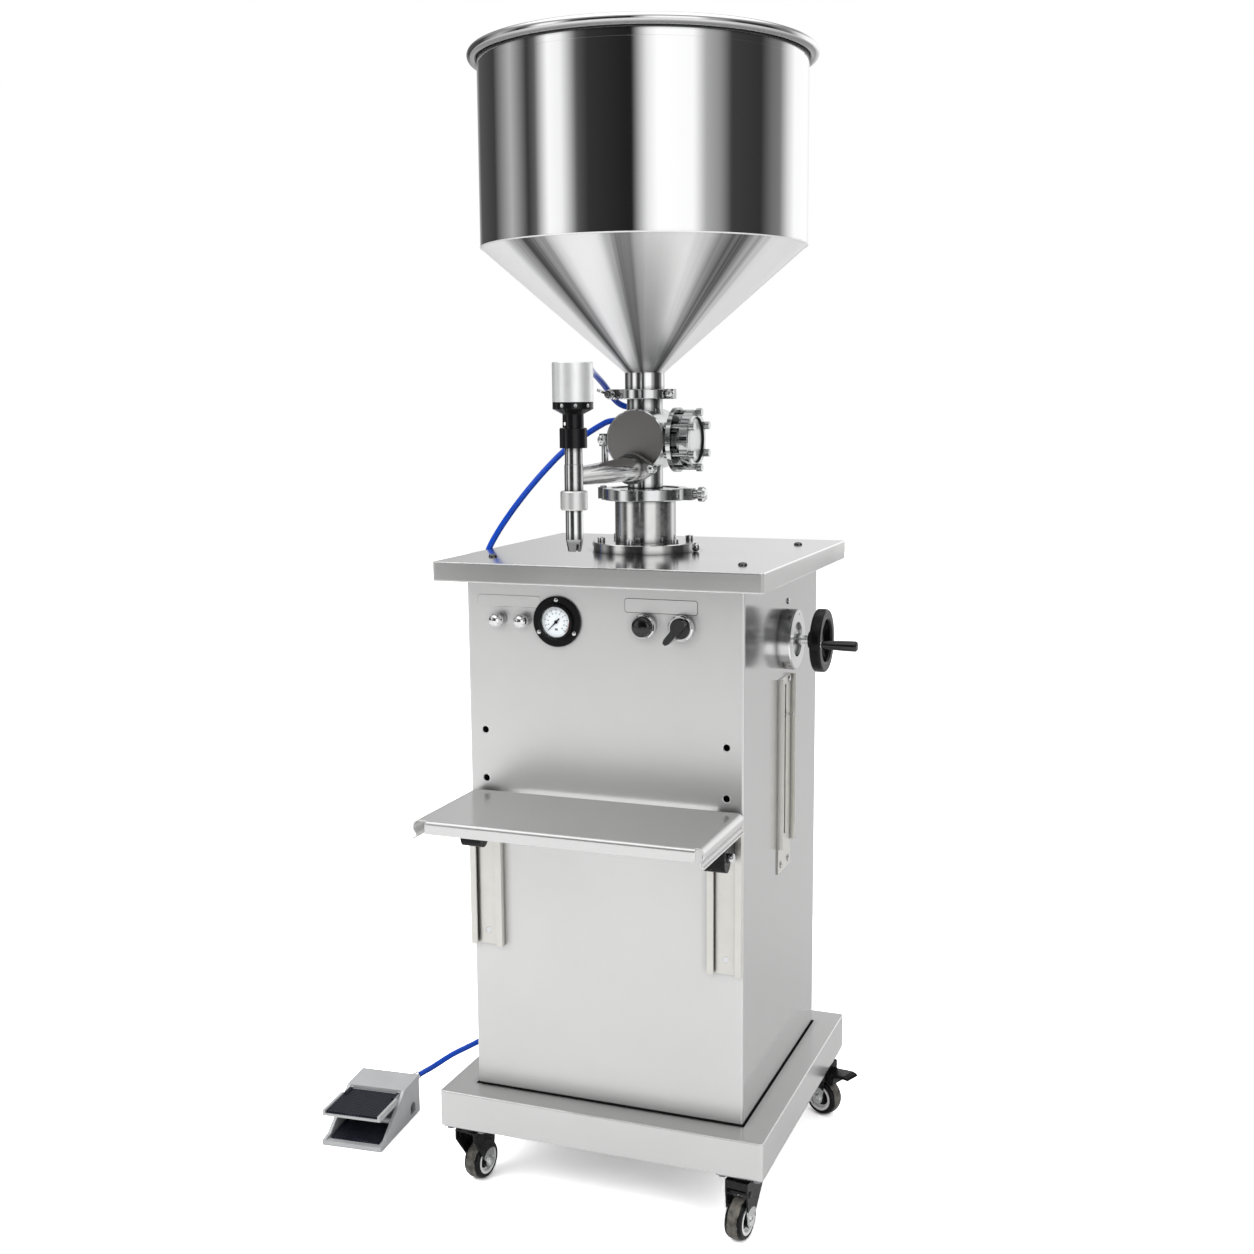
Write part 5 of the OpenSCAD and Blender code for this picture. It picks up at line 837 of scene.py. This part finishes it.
def round_row(bm, centre, out, lift, radius, sides):
    """A ring of vertices in the plane of two directions."""
    turns = [2 * math.pi * k / sides for k in range(sides)]
    return [bm.verts.new(centre + radius * (math.cos(a) * out + math.sin(a) * lift))
            for a in turns]


def skin(bm, rows):
    """Faces between each row of vertices and the next."""
    for one, two in zip(rows, rows[1:]):
        for b in range(len(one)):
            d = (b + 1) % len(one)
            bm.faces.new((one[b], two[b], two[d], one[d]))


def weld_line():
    """The polished weld where the hopper's shell meets its cone."""
    s = Shader("weld_bright", grey(0.93), 0.6, 0.4)
    s.bump(s.noise(s.point, 600.0), 0.2, 0.0002)
    centre, weld_r, bead_r, segments = at_head(0, 0, 1202.0), 0.2057, 0.0009, 128
    bm = bmesh.new()
    rows = []
    for k in range(segments):
        a = 2 * math.pi * k / segments
        out = Vector((math.cos(a), math.sin(a), 0))
        rows.append(round_row(bm, centre + weld_r * out, out, Vector((0, 0, 1)), bead_r, 8))
    skin(bm, [*rows, rows[0]])
    mesh_piece("hopper_weld", bm, s.mat)


def spring_coil():
    """The spring under the nozzle's air piston, pressed together as the nozzle opens."""
    coil_r, wire_r, turns, per_turn = 0.009, 0.00066, 4, 24
    seat_z, cup_z = 1014.3, 1032.3
    low, high = at_head(0, NOZZLE_Y, seat_z), at_head(0, NOZZLE_Y, cup_z)
    pitch = (high.z - low.z - 2 * wire_r) / turns
    bm = bmesh.new()
    rows = []
    for k in range(turns * per_turn + 1):
        a = 2 * math.pi * k / per_turn
        out = Vector((math.cos(a), math.sin(a), 0))
        way = Vector((-math.sin(a), math.cos(a), pitch / (2 * math.pi * coil_r))).normalized()
        centre = low + out * coil_r + Vector((0, 0, wire_r + pitch * k / per_turn))
        rows.append(round_row(bm, centre, out, way.cross(out), wire_r, 10))
    skin(bm, rows)
    bm.faces.new(rows[0][::-1])
    bm.faces.new(rows[-1])
    bmesh.ops.recalc_face_normals(bm, faces=bm.faces)
    spring = mesh_piece("air_spring", bm, chrome.mat)
    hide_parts("nozzle_spring")
    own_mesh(spring)


def rounded_outline(width, height, radius):
    """A rectangle's outline with round corners."""
    points, steps = [], 6
    for cx, cz, start in ((1, 1, 0), (-1, 1, 90), (-1, -1, 180), (1, -1, 270)):
        for k in range(steps + 1):
            a = math.radians(start + 90 * k / steps)
            points.append((cx * (width / 2 - radius) + radius * math.cos(a),
                           cz * (height / 2 - radius) + radius * math.sin(a)))
    return points


def name_plate(name, x, z, width, height, material):
    """A blank plate on the front panel, with its edge turned down all round."""
    thick, slope, back_corner, front_corner = 0.4, 0.65, 3.5, 2.9
    bm = bmesh.new()
    back = [bm.verts.new(at(x + u, PANEL_Y, z + v))
            for u, v in rounded_outline(width, height, back_corner)]
    front = [bm.verts.new(at(x + u, PANEL_Y - thick, z + v))
             for u, v in rounded_outline(width - 2 * slope, height - 2 * slope, front_corner)]
    skin(bm, [front, back])
    bm.faces.new(front)
    mesh_piece(name, bm, material, smooth=False)


def plate_material(name, color, line):
    """The blank plate's metal, with an outline in another tone on its turned-down edge, which
    also stands as painted shade along the edge.
    """
    s = Shader(name, color, 0.9, 0.38)
    facing = s.part("Y", s.node("ShaderNodeNewGeometry", "True Normal"))
    # the outline's own tone, and painted shade along the edge
    s.tint(s.near(facing, 0.0, 0.95), line)
    s.bump(s.noise(s.point, 500.0), 0.03, 0.0002)
    return s.mat


def ink(name, color, spread):
    """Matte printing ink."""
    s = Shader(name, color, 0.0, 0.6)
    s.tone(color, 800.0, spread)
    return s.mat


def dial_bar(bm, degrees, inner, outer, half_width):
    """A raised bar on the gauge's dial, from one radius to another."""
    face_y, raised = PANEL_Y - 4.05, 0.06
    a = math.radians(degrees)
    corners = []
    for r, w in ((inner, -half_width), (outer, -half_width), (outer, half_width),
                 (inner, half_width)):
        corners.append((GAUGE_X + r * math.sin(a) + w * math.cos(a),
                        GAUGE_Z + r * math.cos(a) - w * math.sin(a)))
    low = [bm.verts.new(at(x, face_y, z)) for x, z in corners]
    top = [bm.verts.new(at(x, face_y - raised, z)) for x, z in corners]
    bm.faces.new(top)
    skin(bm, [top, low])


def dial_marks():
    """Ticks, figures as plain bars, three print lines and a red zone on the gauge's dial."""
    start, sweep, ticks, figures = -135, 270, 50, 10
    bm = bmesh.new()
    for k in range(ticks + 1):
        inner, half_width = (13.0, 0.28) if k % 5 == 0 else (14.6, 0.12)
        dial_bar(bm, start + sweep * k / ticks, inner, 16.2, half_width)
    for k in range(figures + 1):
        dial_bar(bm, start + sweep * k / figures, 9.9, 11.6, 0.45)
    for degrees in (172, 180, 188):
        dial_bar(bm, degrees, 8.0, 10.5, 0.5)
    mesh_piece("dial_ticks", bm, ink("dial_ink", (0.02, 0.025, 0.04), 0.4),
               smooth=False)
    bm = bmesh.new()
    for k in range(14):
        dial_bar(bm, 90 + 45 * k / 13, 16.5, 17.3, 0.75)
    mesh_piece("dial_red_zone", bm, ink("dial_red", (0.45, 0.03, 0.02), 0.3),
               smooth=False)


def floor():
    """A white floor, brighter to the camera's own rays than to the rest, and painted darker
    towards its middle as painted shade.
    """
    disc_r, drop, near_r, far_r = 8, 0.0004, 0.8, 4.5
    s = Shader("floor_white", grey(0.80), 0.0, 0.9, Specular_IOR_Level=0.0)
    # painted shade: the floor is darker near its middle
    s.set("Base Color", s.mix(s.ramp(s.length(s.point), near_r, far_r), grey(0.72), WHITE))
    s.tint(s.node("ShaderNodeLightPath", "Is Camera Ray"), grey(2.4))
    s.bump(s.noise(s.point, 4.0), 0.01, 0.0005)
    bm = bmesh.new()
    bmesh.ops.create_circle(bm, cap_ends=True, segments=96, radius=disc_r)
    bmesh.ops.translate(bm, verts=bm.verts, vec=(0, 0, -drop))
    obj = mesh_piece("floor", bm, s.mat, body=None)


weld_line()
spring_coil()
name_plate("label_right", 76, 770.7, 92, 17.4,
           plate_material("label_blank", (0.84, 0.84, 0.835), grey(0.05)))
name_plate("label_left", -122, 769.7, 84, 14.5,
           plate_material("label_faint", (0.82, 0.82, 0.815), grey(0.66)))
dial_marks()
floor()

bpy.context.scene.view_settings.view_transform = "Standard"
